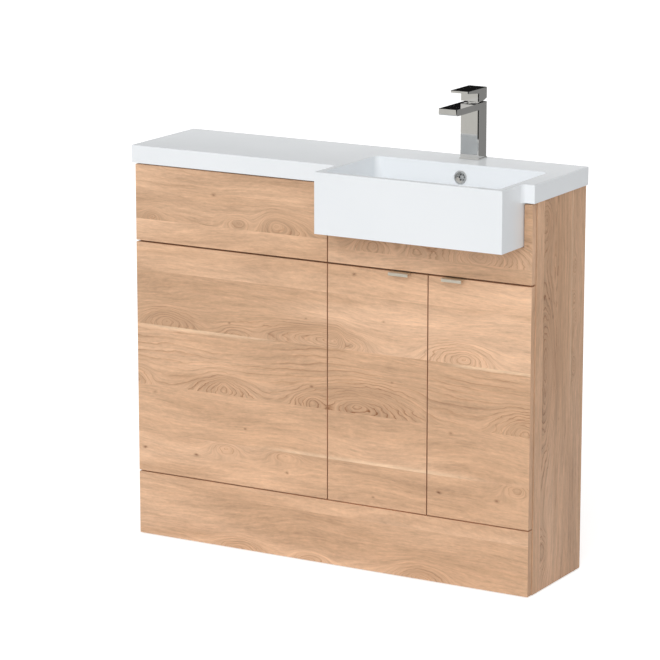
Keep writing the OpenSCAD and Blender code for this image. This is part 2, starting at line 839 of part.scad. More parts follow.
// Outline of the basin block with a cove on each side, down the worktop's front edge
module basin_plan() {
    front_y = face_y - over_front;
    translate([basin_x - basin_w / 2, basin_y0]) square([basin_w, basin_back_y - basin_y0]);
    for (s = [-1, 1]) translate([basin_x + s * basin_w / 2, front_y]) mirror([s > 0 ? 0 : 1, 0])
        difference() {
            translate([-1, -cove_r]) square([cove_r + 1, cove_r + 1]);
            translate([cove_r, -cove_r]) circle(r = cove_r);
        }
}

// The space inside the bowl: leaning walls, round corners and a floor that falls to the waste
module bowl_space() {
    x = bowl_w / 2 - bowl_corner_r;
    deep = bowl_lean + bowl_r;
    hull() {
        for (sx = [-1, 1], y = [bowl_y0 + bowl_corner_r, bowl_y1 - bowl_corner_r])
            translate([basin_x + sx * x, y, deck_z]) cylinder(r = bowl_corner_r, h = 1, $fn = 32);
        for (sx = [-1, 1], y = [bowl_y0 + deep, bowl_y1 - deep])
            translate([basin_x + sx * (bowl_w / 2 - deep), y, floor_z + floor_fall + bowl_r])
                sphere(r = bowl_r, $fn = 32);
        translate([basin_x, waste_y, floor_z]) cylinder(r = flange_r + 1.5, h = 1, $fn = 48);
    }
}

module basin_worktop() {
    half_w = unit_w + over_side;
    front_y = face_y - over_front;
    pocket_z = deck_z - deck_t;
    pocket_y = [front_y + skirt_t, wall_y - skirt_t];
    ledge_y0 = basin_back_y + 12;
    duct_w = 30;
    duct_h = 10;
    duct_z = basin_z + 6;
    duct_y = [basin_back_y - 4, basin_back_y + 6];
    color(cast_white) difference() {
        union() {
            difference() {
                union() {
                    span(-half_w, half_w, front_y, wall_y, top_z, deck_z);
                    translate([0, 0, top_z]) linear_extrude(top_t) basin_plan();
                }
                // hollow underside, left open over the side panels' ribs
                for (p = [[-half_w + skirt_t, -unit_w / 2 - skirt_t / 2],
                          [-unit_w / 2 + skirt_t / 2, -board_t]])
                    span(p[0], p[1], pocket_y[0], pocket_y[1], top_z - 1, pocket_z);
                span(board_t, half_w - skirt_t, ledge_y0, pocket_y[1], top_z - 1, pocket_z);
            }
            span(basin_x - basin_w / 2, basin_x + basin_w / 2, basin_y0, basin_back_y, basin_z, deck_z - eps);
            // hollow behind the bowl that carries the overflow down
            span(basin_x - duct_w / 2 - 8, basin_x + duct_w / 2 + 8,
                basin_back_y - 1, duct_y[1] + 8, basin_z, deck_z - eps);
        }
        bowl_space();
        translate([basin_x, waste_y, basin_z - 1]) cylinder(r = waste_hole_r, h = floor_t + 2);
        at_overflow() translate([0, 0, -12]) cylinder(r = overflow_r, h = duct_y[0] - overflow_y + 16);
        span(basin_x - duct_w / 2, basin_x + duct_w / 2, duct_y[0], duct_y[1],
            duct_z, overflow_z + overflow_r);
        span(basin_x - duct_w / 2, basin_x + duct_w / 2, waste_y, duct_y[1], duct_z, duct_z + duct_h);
        translate([tap_x, tap_y, pocket_z - 1]) cylinder(r = tap_hole_r, h = deck_t + 2);
    }
}

// Square to the bowl's back wall at the overflow, Z pointing into the wall
module at_overflow() {
    translate([basin_x, overflow_y, overflow_z]) rotate([-90 - wall_a, 0, 0]) children();
}

// Ring with a recessed, slotted back, pushed into the overflow hole
module overflow_ring() {
    ring_r = overflow_r + 1.8;
    lip_t = 2;
    sleeve_r = overflow_r - 0.2;
    sleeve_l = 9;
    color(chrome) at_overflow() difference() {
        union() {
            translate([0, 0, -lip_t - slip]) cylinder(r = ring_r, h = lip_t);
            translate([0, 0, -lip_t]) cylinder(r = sleeve_r, h = lip_t + sleeve_l);
        }
        translate([0, 0, -lip_t - 1]) cylinder(r = sleeve_r - 1.4, h = lip_t + sleeve_l - 0.5);
        for (a = [0:60:300]) rotate([0, 0, a]) translate([6.5, 0, sleeve_l - 3]) cylinder(r = 2.4, h = 5);
    }
}

// ---------- waste ----------

module at_waste(z = 0) { translate([basin_x, waste_y, z]) children(); }

module waste_body() {
    spider_z = basin_z - washer_t - waste_nut_h;
    color(chrome) at_waste() {
        difference() {
            union() {
                translate([0, 0, floor_z]) cylinder(r = flange_r, h = flange_t);
                translate([0, 0, floor_z - tail_l]) cylinder(r = tail_r, h = tail_l + 1);
            }
            translate([0, 0, floor_z - tail_l - 1]) cylinder(r = tail_bore_r, h = tail_l + flange_t + 3);
            // relief at the end of the thread, under the nut
            translate([0, 0, spider_z - 2.5]) difference() {
                cylinder(r = tail_r + 1, h = 1.5);
                translate([0, 0, -1]) cylinder(r = tail_r - 0.7, h = 4);
            }
            // slots that let the overflow in
            translate([-7, -tail_r - 1, basin_z + 5]) cube([14, 2 * tail_r + 2, 11]);
        }
        difference() {
            union() {
                translate([0, 0, spider_z]) cylinder(r = 6, h = 10);
                for (a = [30:120:270]) rotate([0, 0, a])
                    translate([0, -1.5, spider_z]) cube([tail_bore_r + 1, 3, 6]);
            }
            translate([0, 0, spider_z - 1]) cylinder(r = 3 + slip, h = 12);
        }
    }
}

module waste_washer() {
    color(rubber) at_waste(basin_z - washer_t) difference() {
        cylinder(r = flange_r - 1, h = washer_t);
        translate([0, 0, -1]) cylinder(r = tail_r + slip, h = washer_t + 2);
    }
}

// Nut with eight grips round it
module waste_nut() {
    color(nylon) at_waste(basin_z - washer_t - waste_nut_h) difference() {
        union() {
            cylinder(r = 26, h = waste_nut_h);
            for (a = [0:45:315]) rotate([0, 0, a]) translate([26, 0, 0])
                cylinder(r = 3, h = waste_nut_h, $fn = 24);
        }
        translate([0, 0, -1]) cylinder(r = tail_r + slip, h = waste_nut_h + 2);
    }
}

// Pop-up plug, shown pressed down: a domed cap on a stem
module waste_plug() {
    cap_z = floor_z + flange_t + play;
    stem_z = basin_z - washer_t - waste_nut_h - 3;
    cap_r = flange_r - 2;
    color(chrome) at_waste() {
        translate([0, 0, cap_z]) rotate_extrude() polygon(concat(
            [[0, 0], [cap_r - 1, 0], [cap_r, 1]],
            [for (a = [15:15:90]) [cap_r * cos(a), 1 + (plug_h - 1) * sin(a)]]));
        translate([0, 0, stem_z]) cylinder(r = 3, h = cap_z - stem_z + 1);
        translate([0, 0, cap_z - 9]) cylinder(r = 9, h = 9.5);
    }
}

// ---------- tap ----------

module at_tap(z = 0) { translate([tap_x, tap_y, deck_z + z]) children(); }

// A block from y0 to y1 with flats on its upright edges
module post(w, y0, y1, h) {
    x = w / 2;
    f = tap_flat;
    linear_extrude(h) polygon([[x, y0 + f], [x, y1 - f], [x - f, y1], [f - x, y1],
        [-x, y1 - f], [-x, y0 + f], [f - x, y0], [x - f, y0]]);
}

// A side profile of the tap, as wide as its body, with its points as [y, z]
module tap_profile(points) {
    translate([-tap_w / 2, 0, 0]) rotate([90, 0, 90]) linear_extrude(tap_w) polygon(points);
}

module tap_base_ring() {
    color(chrome) at_tap() difference() {
        post(tap_w + 2 * ring_over, -tap_d / 2 - ring_over, tap_d / 2 + ring_over, ring_h);
        translate([0, 0, -1]) cylinder(r = spigot_r + play, h = ring_h + 2);
    }
}

module tap_body() {
    tip_y = -tap_d / 2 - spout_l;
    color(chrome) at_tap() difference() {
        union() {
            translate([0, 0, ring_h]) post(tap_w, -tap_d / 2, tap_d / 2, tap_h - ring_h);
            translate([0, 0, -spigot_l]) cylinder(r = spigot_r, h = spigot_l + ring_h + 1);
            // flat spout, its tip leaning back to the underside
            intersection() {
                tap_profile([[0, spout_z], [0, tap_h], [tip_y, tap_h],
                    [tip_y + spout_lean * 0.2, spout_z + 3], [tip_y + spout_lean, spout_z]]);
                translate([0, 0, spout_z - 1]) post(tap_w, tip_y, tap_d / 2, tap_h - spout_z + 2);
            }
        }
        translate([0, 0, cartridge_z]) cylinder(r = cartridge_r + slip, h = tap_h);
        for (s = [-1, 1]) translate([s * inlet_x, inlet_y, -spigot_l - 1]) {
            cylinder(r = inlet_r, h = inlet_l + 1);
            cylinder(r = inlet_r - 1.2, h = cartridge_z + spigot_l + 2);
        }
        translate([0, stud_y, -spigot_l - 1]) cylinder(r = tap_stud_r + slip, h = 13);
        rod_y(0, aerator_y, spout_z + spout_t / 2, 4, -aerator_y - cartridge_r + 2);
        translate([0, aerator_y, spout_z - 1]) cylinder(r = aerator_r, h = aerator_h + 1);
    }
}

module tap_aerator() {
    color(chrome) at_tap(spout_z) translate([0, aerator_y, -0.4]) difference() {
        cylinder(r = aerator_r - slip, h = aerator_h - 0.6);
        translate([0, 0, 3]) cylinder(r = aerator_r - 2, h = aerator_h);
        for (x = [-5:2.5:5], y = [-5:2.5:5]) if (norm([x, y]) < 7)
            translate([x, y, -1]) cylinder(r = 0.8, h = 6, $fn = 16);
    }
}

module tap_cartridge() {
    color(nylon) at_tap() difference() {
        union() {
            translate([0, 0, cartridge_z]) cylinder(r = cartridge_r, h = neck_z - cartridge_z);
            translate([0, 0, neck_z - 1]) cylinder(r = yoke_r + 1.5, h = yoke_top - neck_z);
        }
        translate([0, 0, yoke_z - play]) cylinder(r = yoke_r + play, h = tap_h);
        // side port to the spout
        rod_y(0, -cartridge_r - 1, spout_z + spout_t / 2 - 8, 4, 8);
    }
}

module cartridge_nut() {
    color(chrome) at_tap() difference() {
        union() {
            translate([0, 0, neck_z]) cylinder(r = cartridge_r, h = tap_h - neck_z);
            translate([0, 0, tap_h - eps]) cylinder(r = cartridge_r - 0.4, h = 1.5, $fn = 12);
        }
        translate([0, 0, neck_z - 1]) cylinder(r = yoke_r + 1.5 + slip, h = tap_h);
    }
}

// Turning part of the cartridge: slotted for the stem, with the stem's cross pin
module cartridge_yoke() {
    color(nylon) at_tap() {
        difference() {
            translate([0, 0, yoke_z]) cylinder(r = yoke_r, h = yoke_top - yoke_z);
            translate([-stem_w / 2 - play, -20, yoke_z + 2.5]) cube([stem_w + 2 * play, 40, tap_h]);
        }
        rod_x(-stem_w / 2 - 3, 0, pivot_z, 1.5, stem_w + 6);
    }
}

module tap_stem() {
    color(steel) at_tap() difference() {
        translate([-stem_w / 2, -stem_w / 2, stem_z]) cube([stem_w, stem_w, stem_top - stem_z]);
        rod_x(-stem_w, 0, pivot_z, 1.5 + slip, 2 * stem_w);
    }
}

// Block head over the body and a thin flat plate that reaches forward from its top
module tap_lever() {
    y = tap_d / 2;
    root_z = lever_top - lever_root;
    color(chrome) at_tap() difference() {
        union() {
            intersection() {
                tap_profile([[2.5, head_z], [y, head_z + 5], [y, lever_top], [-y, lever_top], [-y, head_z]]);
                translate([0, 0, head_z - 1]) post(tap_w, -y, y, lever_h + 2);
            }
            intersection() {
                tap_profile([[0, root_z], [0, lever_top], [-y - lever_l, lever_top],
                    [-y - lever_l, lever_top - lever_tip], [-y, root_z]]);
                translate([0, 0, root_z - 1]) post(tap_w, -y - lever_l, y, lever_root + 2);
            }
        }
        translate([-stem_w / 2 - slip, -stem_w / 2 - slip, head_z - 1])
            cube([stem_w + 2 * slip, stem_w + 2 * slip, stem_top - head_z + 1 + slip]);
        translate([0, 0, head_z - 1]) cylinder(r = cartridge_r + 1, h = 3);
        rod_y(0, stem_w / 2, lever_screw_z, lever_screw_r + slip, y);
        rod_y(0, y - lever_plug_t, lever_screw_z, lever_plug_r + slip, 2);
    }
}

module lever_screw() {
    color(steel) at_tap() difference() {
        rod_y(0, stem_w / 2, lever_screw_z, lever_screw_r, 10);
        rod_y(0, stem_w / 2 + 7, lever_screw_z, 1.4, 4);
    }
}

module lever_plug() {
    color(chrome) at_tap() rod_y(0, tap_d / 2 - lever_plug_t, lever_screw_z, lever_plug_r, lever_plug_t);
}

module tap_stud() {
    color(steel) at_tap() translate([0, stud_y, -stud_drop])
        cylinder(r = tap_stud_r, h = stud_drop - spigot_l + 11);
}

// Horseshoe plate that clamps the tap from below
module tap_clamp_plate() {
    plate_r = tap_hole_r + 4;
    slot_r = inlet_x + inlet_r + 1;
    slot_y = inlet_y - 3;
    to_skirt = tap_wall - skirt_t - 2;
    color(steel) at_tap(-deck_t - clamp_t) difference() {
        intersection() {
            cylinder(r = plate_r, h = clamp_t);
            translate([-plate_r, -plate_r, -1]) cube([2 * plate_r, plate_r + to_skirt, clamp_t + 2]);
        }
        translate([0, slot_y, -1]) cylinder(r = slot_r, h = clamp_t + 2);
        translate([-slot_r, -2 * plate_r, -1]) cube([2 * slot_r, 2 * plate_r + slot_y, clamp_t + 2]);
        translate([0, stud_y, -1]) cylinder(r = tap_stud_r + slip, h = clamp_t + 2);
    }
}

module tap_nut() {
    color(steel) at_tap(-deck_t - clamp_t - 6.5) translate([0, stud_y, 0]) difference() {
        cylinder(r = 5.5, h = 6.5, $fn = 6);
        translate([0, 0, -1]) cylinder(r = tap_stud_r + slip, h = 9);
    }
}

wc_side_left();
wc_side_right();
vanity_side_left();
vanity_side_right();
wc_top_rails();
wc_mid_rail();
wc_low_rail();
vanity_base();
vanity_back_rails();
vanity_front_rail();
dowels();
cam_fittings();
unit_connectors();
glides();
vanity_shelf();
shelf_pins();
vanity_fascia();
wc_lower_panel();
plinth();
plinth_clips();
panel_spacers();
panel_screws();
door_bumpers();
wall_brackets();
bracket_screws();
panel_sockets();
hinge_plates();
hinge_plate_screws();
hinge_arms();
basin_worktop();
overflow_ring();
waste_body();
waste_washer();
waste_nut();
tap_base_ring();
tap_body();
tap_aerator();
tap_cartridge();
cartridge_nut();
tap_stud();
tap_clamp_plate();
tap_nut();
door_left();
handle_left();
handle_screws_left();
hinge_cups_left();
door_right();
handle_right();
handle_screws_right();
hinge_cups_right();
hinge_links_left();
hinge_links_right();
cartridge_yoke();
tap_stem();
tap_lever();
lever_screw();
lever_plug();
waste_plug();
wc_access_panel();
panel_studs();
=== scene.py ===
# The frame: the imported model of a fitted bathroom unit, a toilet unit and a vanity unit in
# one row. Every piece below is set against it.
import json
import math

import bmesh
import bpy
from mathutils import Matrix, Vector

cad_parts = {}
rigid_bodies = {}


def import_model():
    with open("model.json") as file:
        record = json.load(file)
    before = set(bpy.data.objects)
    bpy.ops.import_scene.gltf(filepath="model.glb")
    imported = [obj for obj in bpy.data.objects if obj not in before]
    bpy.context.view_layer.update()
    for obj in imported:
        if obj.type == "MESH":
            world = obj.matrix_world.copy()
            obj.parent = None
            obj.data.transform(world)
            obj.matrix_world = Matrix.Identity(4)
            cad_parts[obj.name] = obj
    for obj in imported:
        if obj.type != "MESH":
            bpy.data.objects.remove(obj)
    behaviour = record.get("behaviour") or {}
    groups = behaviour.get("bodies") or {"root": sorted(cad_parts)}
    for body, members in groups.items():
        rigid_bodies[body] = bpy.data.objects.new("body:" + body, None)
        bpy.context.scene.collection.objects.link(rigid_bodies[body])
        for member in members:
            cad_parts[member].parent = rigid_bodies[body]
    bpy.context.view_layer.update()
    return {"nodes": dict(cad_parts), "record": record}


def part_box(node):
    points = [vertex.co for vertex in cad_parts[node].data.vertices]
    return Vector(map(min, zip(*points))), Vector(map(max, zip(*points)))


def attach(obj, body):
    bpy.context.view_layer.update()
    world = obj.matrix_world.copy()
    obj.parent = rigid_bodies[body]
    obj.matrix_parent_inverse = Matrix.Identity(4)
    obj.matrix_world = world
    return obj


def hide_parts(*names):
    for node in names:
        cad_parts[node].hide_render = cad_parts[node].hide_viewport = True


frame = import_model()
body_of = {n: b for b, nodes in frame["record"]["behaviour"]["bodies"].items() for n in nodes}


# The view: a long lens, 7 m away, a little to the right of the unit and above its top, as a
# furniture catalogue shows a cabinet. The lens has no shift and everything is in focus.
lens_mm, film_mm = 177.17, 36
camera_place = (3.47889, -6.09787, 2.13326)
tilt_down, turn_left = 0.225639, 0.523151
camera = bpy.data.objects.new("camera", bpy.data.cameras.new("camera"))
camera.data.lens = lens_mm
camera.data.sensor_width = film_mm
camera.data.clip_end = 100
camera.location = camera_place
camera.rotation_euler = (math.pi / 2 - tilt_down, 0, turn_left)
bpy.context.scene.collection.objects.link(camera)
bpy.context.scene.camera = camera
bpy.context.scene.view_settings.view_transform = "Standard"


# The studio: white all round, one large soft lamp in front of the unit and above it, a
# weaker one behind it, and a pale board floor that keeps a faint shadow under the cabinet.
class Socket:
    """One output in a node tree. Arithmetic on sockets adds the nodes that work it out."""

    def __init__(self, tree, out=None):
        self.tree, self.out = tree, out

    def node(self, kind, settings=None, inputs=None, out=0):
        """A new node of a kind, its settings first and then its sockets, and one output of it."""
        made = self.tree.nodes.new(kind)
        for name, value in (settings or {}).items():
            setattr(made, name, value)
        for name, value in (inputs or {}).items():
            if isinstance(value, Socket):
                self.tree.links.new(value.out, made.inputs[name])
            else:
                made.inputs[name].default_value = value
        return Socket(self.tree, made.outputs[out])

    def math(self, operation, *others):
        operands = dict(enumerate((self, *others)))
        return self.node("ShaderNodeMath", {"operation": operation}, operands)

    def vector(self, operation, other, out=0):
        operands = {0: self, 1: other}
        return self.node("ShaderNodeVectorMath", {"operation": operation}, operands, out)

    def __add__(self, other):
        return self.math("ADD", other)

    def __sub__(self, other):
        return self.math("SUBTRACT", other)

    def __mul__(self, other):
        return self.math("MULTIPLY", other)

    def __truediv__(self, other):
        return self.math("DIVIDE", other)

    def __pow__(self, other):
        return self.math("POWER", other)

    def __gt__(self, other):
        return self.math("GREATER_THAN", other)

    def __rsub__(self, other):
        return self.node("ShaderNodeMath", {"operation": "SUBTRACT"}, {0: other, 1: self})

    __radd__ = __add__
    __rmul__ = __mul__

    def clamped(self):
        return self.node("ShaderNodeClamp", {}, {"Value": self})

    def between(self, low, high):
        """0 below low, 1 above high, and a smooth step from one to the other."""
        return self.node("ShaderNodeMapRange", {"interpolation_type": "SMOOTHSTEP"},
                         {"Value": self, "From Min": low, "From Max": high})

    def mix(self, first, second):
        """The colour that lies this share of the way from the first to the second."""
        colours = {0: self, 6: first, 7: second}
        return self.node("ShaderNodeMix", {"data_type": "RGBA"}, colours, 2)

    def scaled(self, by):
        """This colour or place, times a number."""
        return self.node("ShaderNodeVectorMath", {"operation": "SCALE"}, {0: self, "Scale": by})

    def axes(self):
        """The three coordinates of a place, by name."""
        return {axis: self.node("ShaderNodeSeparateXYZ", {}, {0: self}, axis) for axis in "XYZ"}

    def place(self, x, y, z):
        return self.node("ShaderNodeCombineXYZ", {}, {0: x, 1: y, 2: z})

    def noise(self, stretch, detail=2.0, roughness=0.5):
        """A cloudy value about 0, stretch being its number of clouds to a metre each way."""
        return self.node("ShaderNodeTexNoise", {}, {
            "Vector": self.vector("MULTIPLY", stretch), "Scale": 1.0,
            "Detail": detail, "Roughness": roughness}) - 0.5

    def feed(self, node, name):
        self.tree.links.new(self.out, node.inputs[name])


def paint(red, green, blue):
    """A colour as a paint chart gives it, 0 to 255, as the shaders take it."""
    return tuple(((c / 255 + 0.055) / 1.055) ** 2.4 for c in (red, green, blue)) + (1.0,)


def seen(tree):
    """1 for what the camera sees itself, in a mirror or through glass, 0 for light that falls
    on a surface."""
    rays = [Socket(tree).node("ShaderNodeLightPath", out=kind)
            for kind in ("Is Camera Ray", "Is Glossy Ray", "Is Transmission Ray")]
    return (rays[0] + rays[1] + rays[2]).clamped()


white = (1, 1, 1, 1)
room = bpy.data.worlds.new("room")
room.use_nodes = True
bpy.context.scene.world = room
background = room.node_tree.nodes["Background"]
background.inputs["Color"].default_value = white
ambient = 0.43
(seen(room.node_tree) * (1 - ambient) + ambient).feed(background, "Strength")

# each lamp's strength, how wide it looks from the unit, in degrees, and the way to it
lamps = {"lamp": (1.50, 50, (0.09, -0.43, 0.25)),
         "fill": (0.78, 70, (0.05, 0.95, 0.33))}
for name, (strength, width, way) in lamps.items():
    lamp = bpy.data.objects.new(name, bpy.data.lights.new(name, "SUN"))
    lamp.data.energy = strength
    lamp.data.angle = math.radians(width)
    lamp.data.color = white[:3]
    lamp.rotation_euler = Vector(way).to_track_quat("Z", "Y").to_euler()
    lamp.visible_glossy = False
    bpy.context.scene.collection.objects.link(lamp)


def stand(name, corners, shade, glow=0.0, tint=white):
    """A flat painted sheet of the studio, which isn't part of the unit. Its glow is only for
    what looks at it, and lights nothing."""
    coat = bpy.data.materials.new(name + "_paint")
    coat.use_nodes = True
    shader = coat.node_tree.nodes["Principled BSDF"]
    shader.inputs["Base Color"].default_value = (shade, shade, shade, 1)
    shader.inputs["Roughness"].default_value = 1
    shader.inputs["Specular IOR Level"].default_value = 0
    shader.inputs["Emission Strength"].default_value = glow
    seen(coat.node_tree).mix((0, 0, 0, 1), tint).feed(shader, "Emission Color")
    mesh = bpy.data.meshes.new(name)
    mesh.from_pydata(corners, [], [list(range(len(corners)))])
    mesh.materials.append(coat)
    sheet = bpy.data.objects.new(name, mesh)
    bpy.context.scene.collection.objects.link(sheet)
    return sheet


floor_r, floor_sides = 14, 96
floor_shade, floor_glow = 0.92, 0.50
rim = [a * math.tau / floor_sides for a in range(floor_sides)]
stand("floor", [(floor_r * math.cos(a), floor_r * math.sin(a), 0) for a in rim],
      floor_shade, floor_glow)


# The cards: a photographer stands black and grey cards round chrome, so that its flats and
# its outline stay clear on a white ground. Only the mirrors on the object see them.
def card(name, foot, head, z0, z1, shade, tint=white):
    """An upright card from one place on the floor to another, as bright in a mirror as shade."""
    corners = [(*foot, z0), (*head, z0), (*head, z1), (*foot, z1)]
    sheet = stand(name, corners, 0.0, shade, tint)
    sheet.visible_camera = sheet.visible_diffuse = sheet.visible_shadow = False


black, grey, pale, cream = 0.01, 0.32, 0.74, (1, 0.99, 0.955, 1)
card("black_card_behind", (-2.5, 1.6), (1.5, 1.6), 1.27, 3.4, black)
card("grey_card_behind", (0.45, 1.6), (2.2, 1.6), 0.0, 1.2, grey)
card("low_card_behind", (-2.5, 1.6), (0.45, 1.6), 0.0, 1.0, grey)
card("black_card_right", (1.77, -1.21), (2.23, -0.33), 0.0, 1.15, black)
card("pale_card_left", (-1.45, -1.30), (-0.05, -2.10), 0.0, 1.15, pale, cream)


# The side panels: 18 mm chipboard under a printed oak melamine, its grain running up the
# panel. The long edges carry a thin tape of the same oak, and the underside is left raw.
def finish(name, **fixed):
    """A new material: its shader, with the values that are the same all over, and its places."""
    made = bpy.data.materials.new(name)
    made.use_nodes = True
    shader = made.node_tree.nodes["Principled BSDF"]
    for socket, value in fixed.items():
        shader.inputs[socket.replace("_", " ")].default_value = value
    spot = Socket(made.node_tree).node("ShaderNodeTexCoord", out="Object")
    return made, shader, spot


def relief(shader, height, depth):
    """Makes the shader's surface rise with height, by depth in metres."""
    height.node("ShaderNodeBump", {}, {
        "Height": height, "Distance": depth, "Strength": 1.0}).feed(shader, "Normal")


def total(sockets):
    """The sum of some sockets."""
    result = sockets[0]
    for other in sockets[1:]:
        result = result + other
    return result


OAK_PINK = paint(221, 183, 151)
OAK_WARM = paint(207, 168, 135)
OAK_BROWN = paint(193, 155, 123)
OAK_PALE = paint(232, 203, 171)
OAK_RING = paint(148, 98, 62)
OAK_KNOT = paint(124, 84, 58)


def oak_print(name, along, across, staves, figures=(), knots=(), cut_glow=(),
              painted_light_slope=0.0, brown=0.0):
    """Printed oak of wide staves laid side by side. Along and across the grain are two axes.

    A stave is where it starts across the grain, its tone, and how bold its rings are.
    A figure is an eye of rings: its stave, its middle along and across the grain, its length
    before and after that middle, half its width, and its number of rings.
    A knot is its place along and across the grain, its size and its depth of tone.
    A cut glow is a pale line where two staves meet: its place across the grain, its middle
    and half its length along it, and the side of the cut that it lies on, 1 or -1.
    The painted light slope is painted light: the print gets this much lighter in a metre along the
    grain, where more light falls on the board. Brown is how far all of it leans to the colour of
    the rings."""
    rings_to_a_metre = 58
    made, shader, spot = finish(name, Specular_IOR_Level=0.35)
    at = spot.axes()
    u, v, w = at[along], at[across], at[({"X", "Y", "Z"} - {along, across}).pop()]
    past = [v > start for start, tone, bold in staves[1:]]

    def by_stave(column):
        """One column of the staves' table, each stave's value within its own width."""
        steps = [step * (after[column] - before[column])
                 for step, before, after in zip(past, staves, staves[1:])]
        return total(steps) + staves[0][column]

    starts, tones, bolds = 0, 1, 2
    stave = total(past)
    layer = w * 0.2 + stave * 3.7   # far enough apart for every stave to have its own clouds
    own = spot.place(u, v, layer)

    # growth rings: level with the grain far from a heart, and nested eyes round it
    hearts = {}
    for number, middle, height, before, after, half_wide, rings in figures:
        gone = u - middle
        share = (gone > 0) * (1 / after - 1 / before) + 1 / before
        gap = spot.place(gone * share, (v - height) * (1 / half_wide), 0.0)
        inward = 1 - gap.vector("LENGTH", gap, "Value")
        eye = (inward + (inward * inward + 0.12).math("SQRT")) * (0.5 * rings)
        hearts.setdefault(number, []).append(eye)
    in_stave = [total(eyes) * (1 - (stave - number).math("ABSOLUTE")).clamped()
                for number, eyes in hearts.items()]
    heart = total(in_stave) if hearts else stave * 0
    sway = own.noise((1.8, 5.5, 9), 1, 0.5) * 6.0
    wobble = own.noise((7, 20, 9), 2, 0.55) * 1.9
    shiver = own.noise((26, 60, 9), 2, 0.5) * (0.6 + heart.between(0.5, 3.0) * 1.5)
    level_ring = v * rings_to_a_metre - heart + sway + wobble * 0.3
    ring = level_ring + wobble * 0.7 + shiver + stave * 0.37

    # a ring's dark line grows to its late wood and stops short, and comes and goes in patches
    saw = ring.math("FRACT")
    line = saw ** 7 * (1 - saw.between(0.92, 1.0))
    patch = own.noise((5.5, 18, 9), 2, 0.55).between(-0.14, 0.14)
    at_heart = heart.between(0.5, 2.5) * (0.32 + by_stave(bolds) * 0.25 + patch * 0.50)
    lines = line * (by_stave(bolds) * (patch + 0.15) + at_heart)

    # tone: broad drifts, brown hearts, and fibres of several sizes that run with the rings
    flow = spot.place(u, level_ring * 0.014, layer)
    drift = own.noise((1.1, 5.5, 9), 2, 0.5)
    moss = own.noise((2.2, 17.0, 5), 3, 0.6)
    veins = flow.noise((3.8, 36, 20), 2, 0.6)
    fibres = flow.noise((9, 120, 40), 3, 0.7)
    hairs = flow.noise((28, 260, 60), 2, 0.75)
    dashes = flow.noise((75, 250, 60), 2, 0.7)
    pores = flow.noise((30, 560, 60), 2, 0.6).between(0.06, 0.24)
    foot = 1 - (v - by_stave(starts)).between(-0.01, 0.055)   # a stave is darker where it starts
    browned = moss.between(-0.02, 0.22) * 0.65 + heart.between(0.6, 5.0) * 0.35
    tone = drift.between(-0.16, 0.16).mix(OAK_WARM, OAK_PINK)
    tone = browned.clamped().mix(tone, OAK_BROWN)
    for height, middle, half_long, side in cut_glow:
        above = (v - height) * side
        ends = ((u - middle).math("ABSOLUTE") * (1 / half_long)).between(0.5, 1.1)
        near = above.between(-0.0005, 0.0) * (1 - above.between(0.002, 0.011)) * (1 - ends)
        tone = (near * 0.55).mix(tone, OAK_PALE)
    tone = (lines + pores * 0.10 + brown).clamped().mix(tone, OAK_RING)
    for mark_u, mark_v, size, depth in knots:
        gap = spot.place(u - mark_u, v - mark_v, 0.0).vector("MULTIPLY", (1 / size, 1.7 / size, 0))
        far = gap.vector("LENGTH", gap, "Value") + own.noise((90, 150, 9), 1, 0.5) * 0.9
        swirl = (far * 9.0).math("SINE") * 0.25 + 0.75
        tone = ((1 - far.between(0.25, 1.0)) * swirl * depth).mix(tone, OAK_KNOT)
    # painted light: the print gets lighter along the grain by the painted light slope
    level = (1.142 + by_stave(tones) + u * painted_light_slope - foot * 0.05 + drift * 0.44 +
             veins * 0.48 + fibres * 0.62 + hairs * 0.48 + dashes * 0.30)
    tone.scaled(level).feed(shader, "Base Color")
    (0.50 + pores * 0.14 + fibres * 0.12).feed(shader, "Roughness")
    relief(shader, 0 - pores, 0.00006)
    return made


def chipboard(name):
    """Raw chipboard: pressed chips of all sizes, a little longer one way, with fine dust."""
    made, shader, spot = finish(name, Specular_IOR_Level=0.2)
    chips = spot.vector("MULTIPLY", (420, 640, 640))
    cells = chips.node("ShaderNodeTexVoronoi", {}, {"Vector": chips, "Scale": 1.0}, "Color")
    chip = cells.axes()
    dust = spot.noise((900, 900, 900), 2, 0.6)
    tone = chip["X"].mix(paint(184, 152, 112), paint(216, 190, 150))
    tone.scaled(1 + dust * 0.4).feed(shader, "Base Color")
    (0.8 + dust * 0.2).feed(shader, "Roughness")
    relief(shader, chip["Y"], 0.0003)
    return made


oak_side = oak_print(
    "oak_side", "Z", "Y",
    staves=((-1.0, -0.07, 0.10), (-0.023, -0.145, 0.48), (0.116, -0.21, 0.50)),
    figures=((1, 0.50, -0.006, 0.230, 0.170, 0.050, 11),
             (1, 0.09, -0.010, 0.07, 0.05, 0.040, 5),
             (1, 0.82, -0.010, 0.08, 0.05, 0.040, 5),
             (1, 0.76, 0.045, 0.30, 0.30, 0.012, 2),
             (2, 0.695, 0.132, 0.022, 0.030, 0.012, 3),
             (2, 0.625, 0.128, 0.030, 0.022, 0.014, 3),
             (2, 0.580, 0.138, 0.020, 0.020, 0.011, 3),
             (2, 0.47, 0.132, 0.030, 0.035, 0.016, 4)),
    knots=((0.604, 0.024, 0.008, 0.7), (0.37, 0.060, 0.006, 0.5)),
    # painted light: the side panel's print is lighter towards its top
    cut_glow=((0.1165, 0.66, 0.28, -1),), painted_light_slope=0.10, brown=0.19)
oak_tape = oak_print("oak_tape", "Z", "X",
                     staves=((-1.0, 0.0, 0.1), (-0.25, 0.03, 0.1), (0.25, -0.02, 0.1)))
raw_edge = chipboard("raw_edge")


def welded(node):
    """A copy of a CAD node's mesh with its doubles merged."""
    shape = bmesh.new()
    shape.from_mesh(frame["nodes"][node].data)
    bmesh.ops.remove_doubles(shape, verts=shape.verts, dist=1e-6)
    return shape


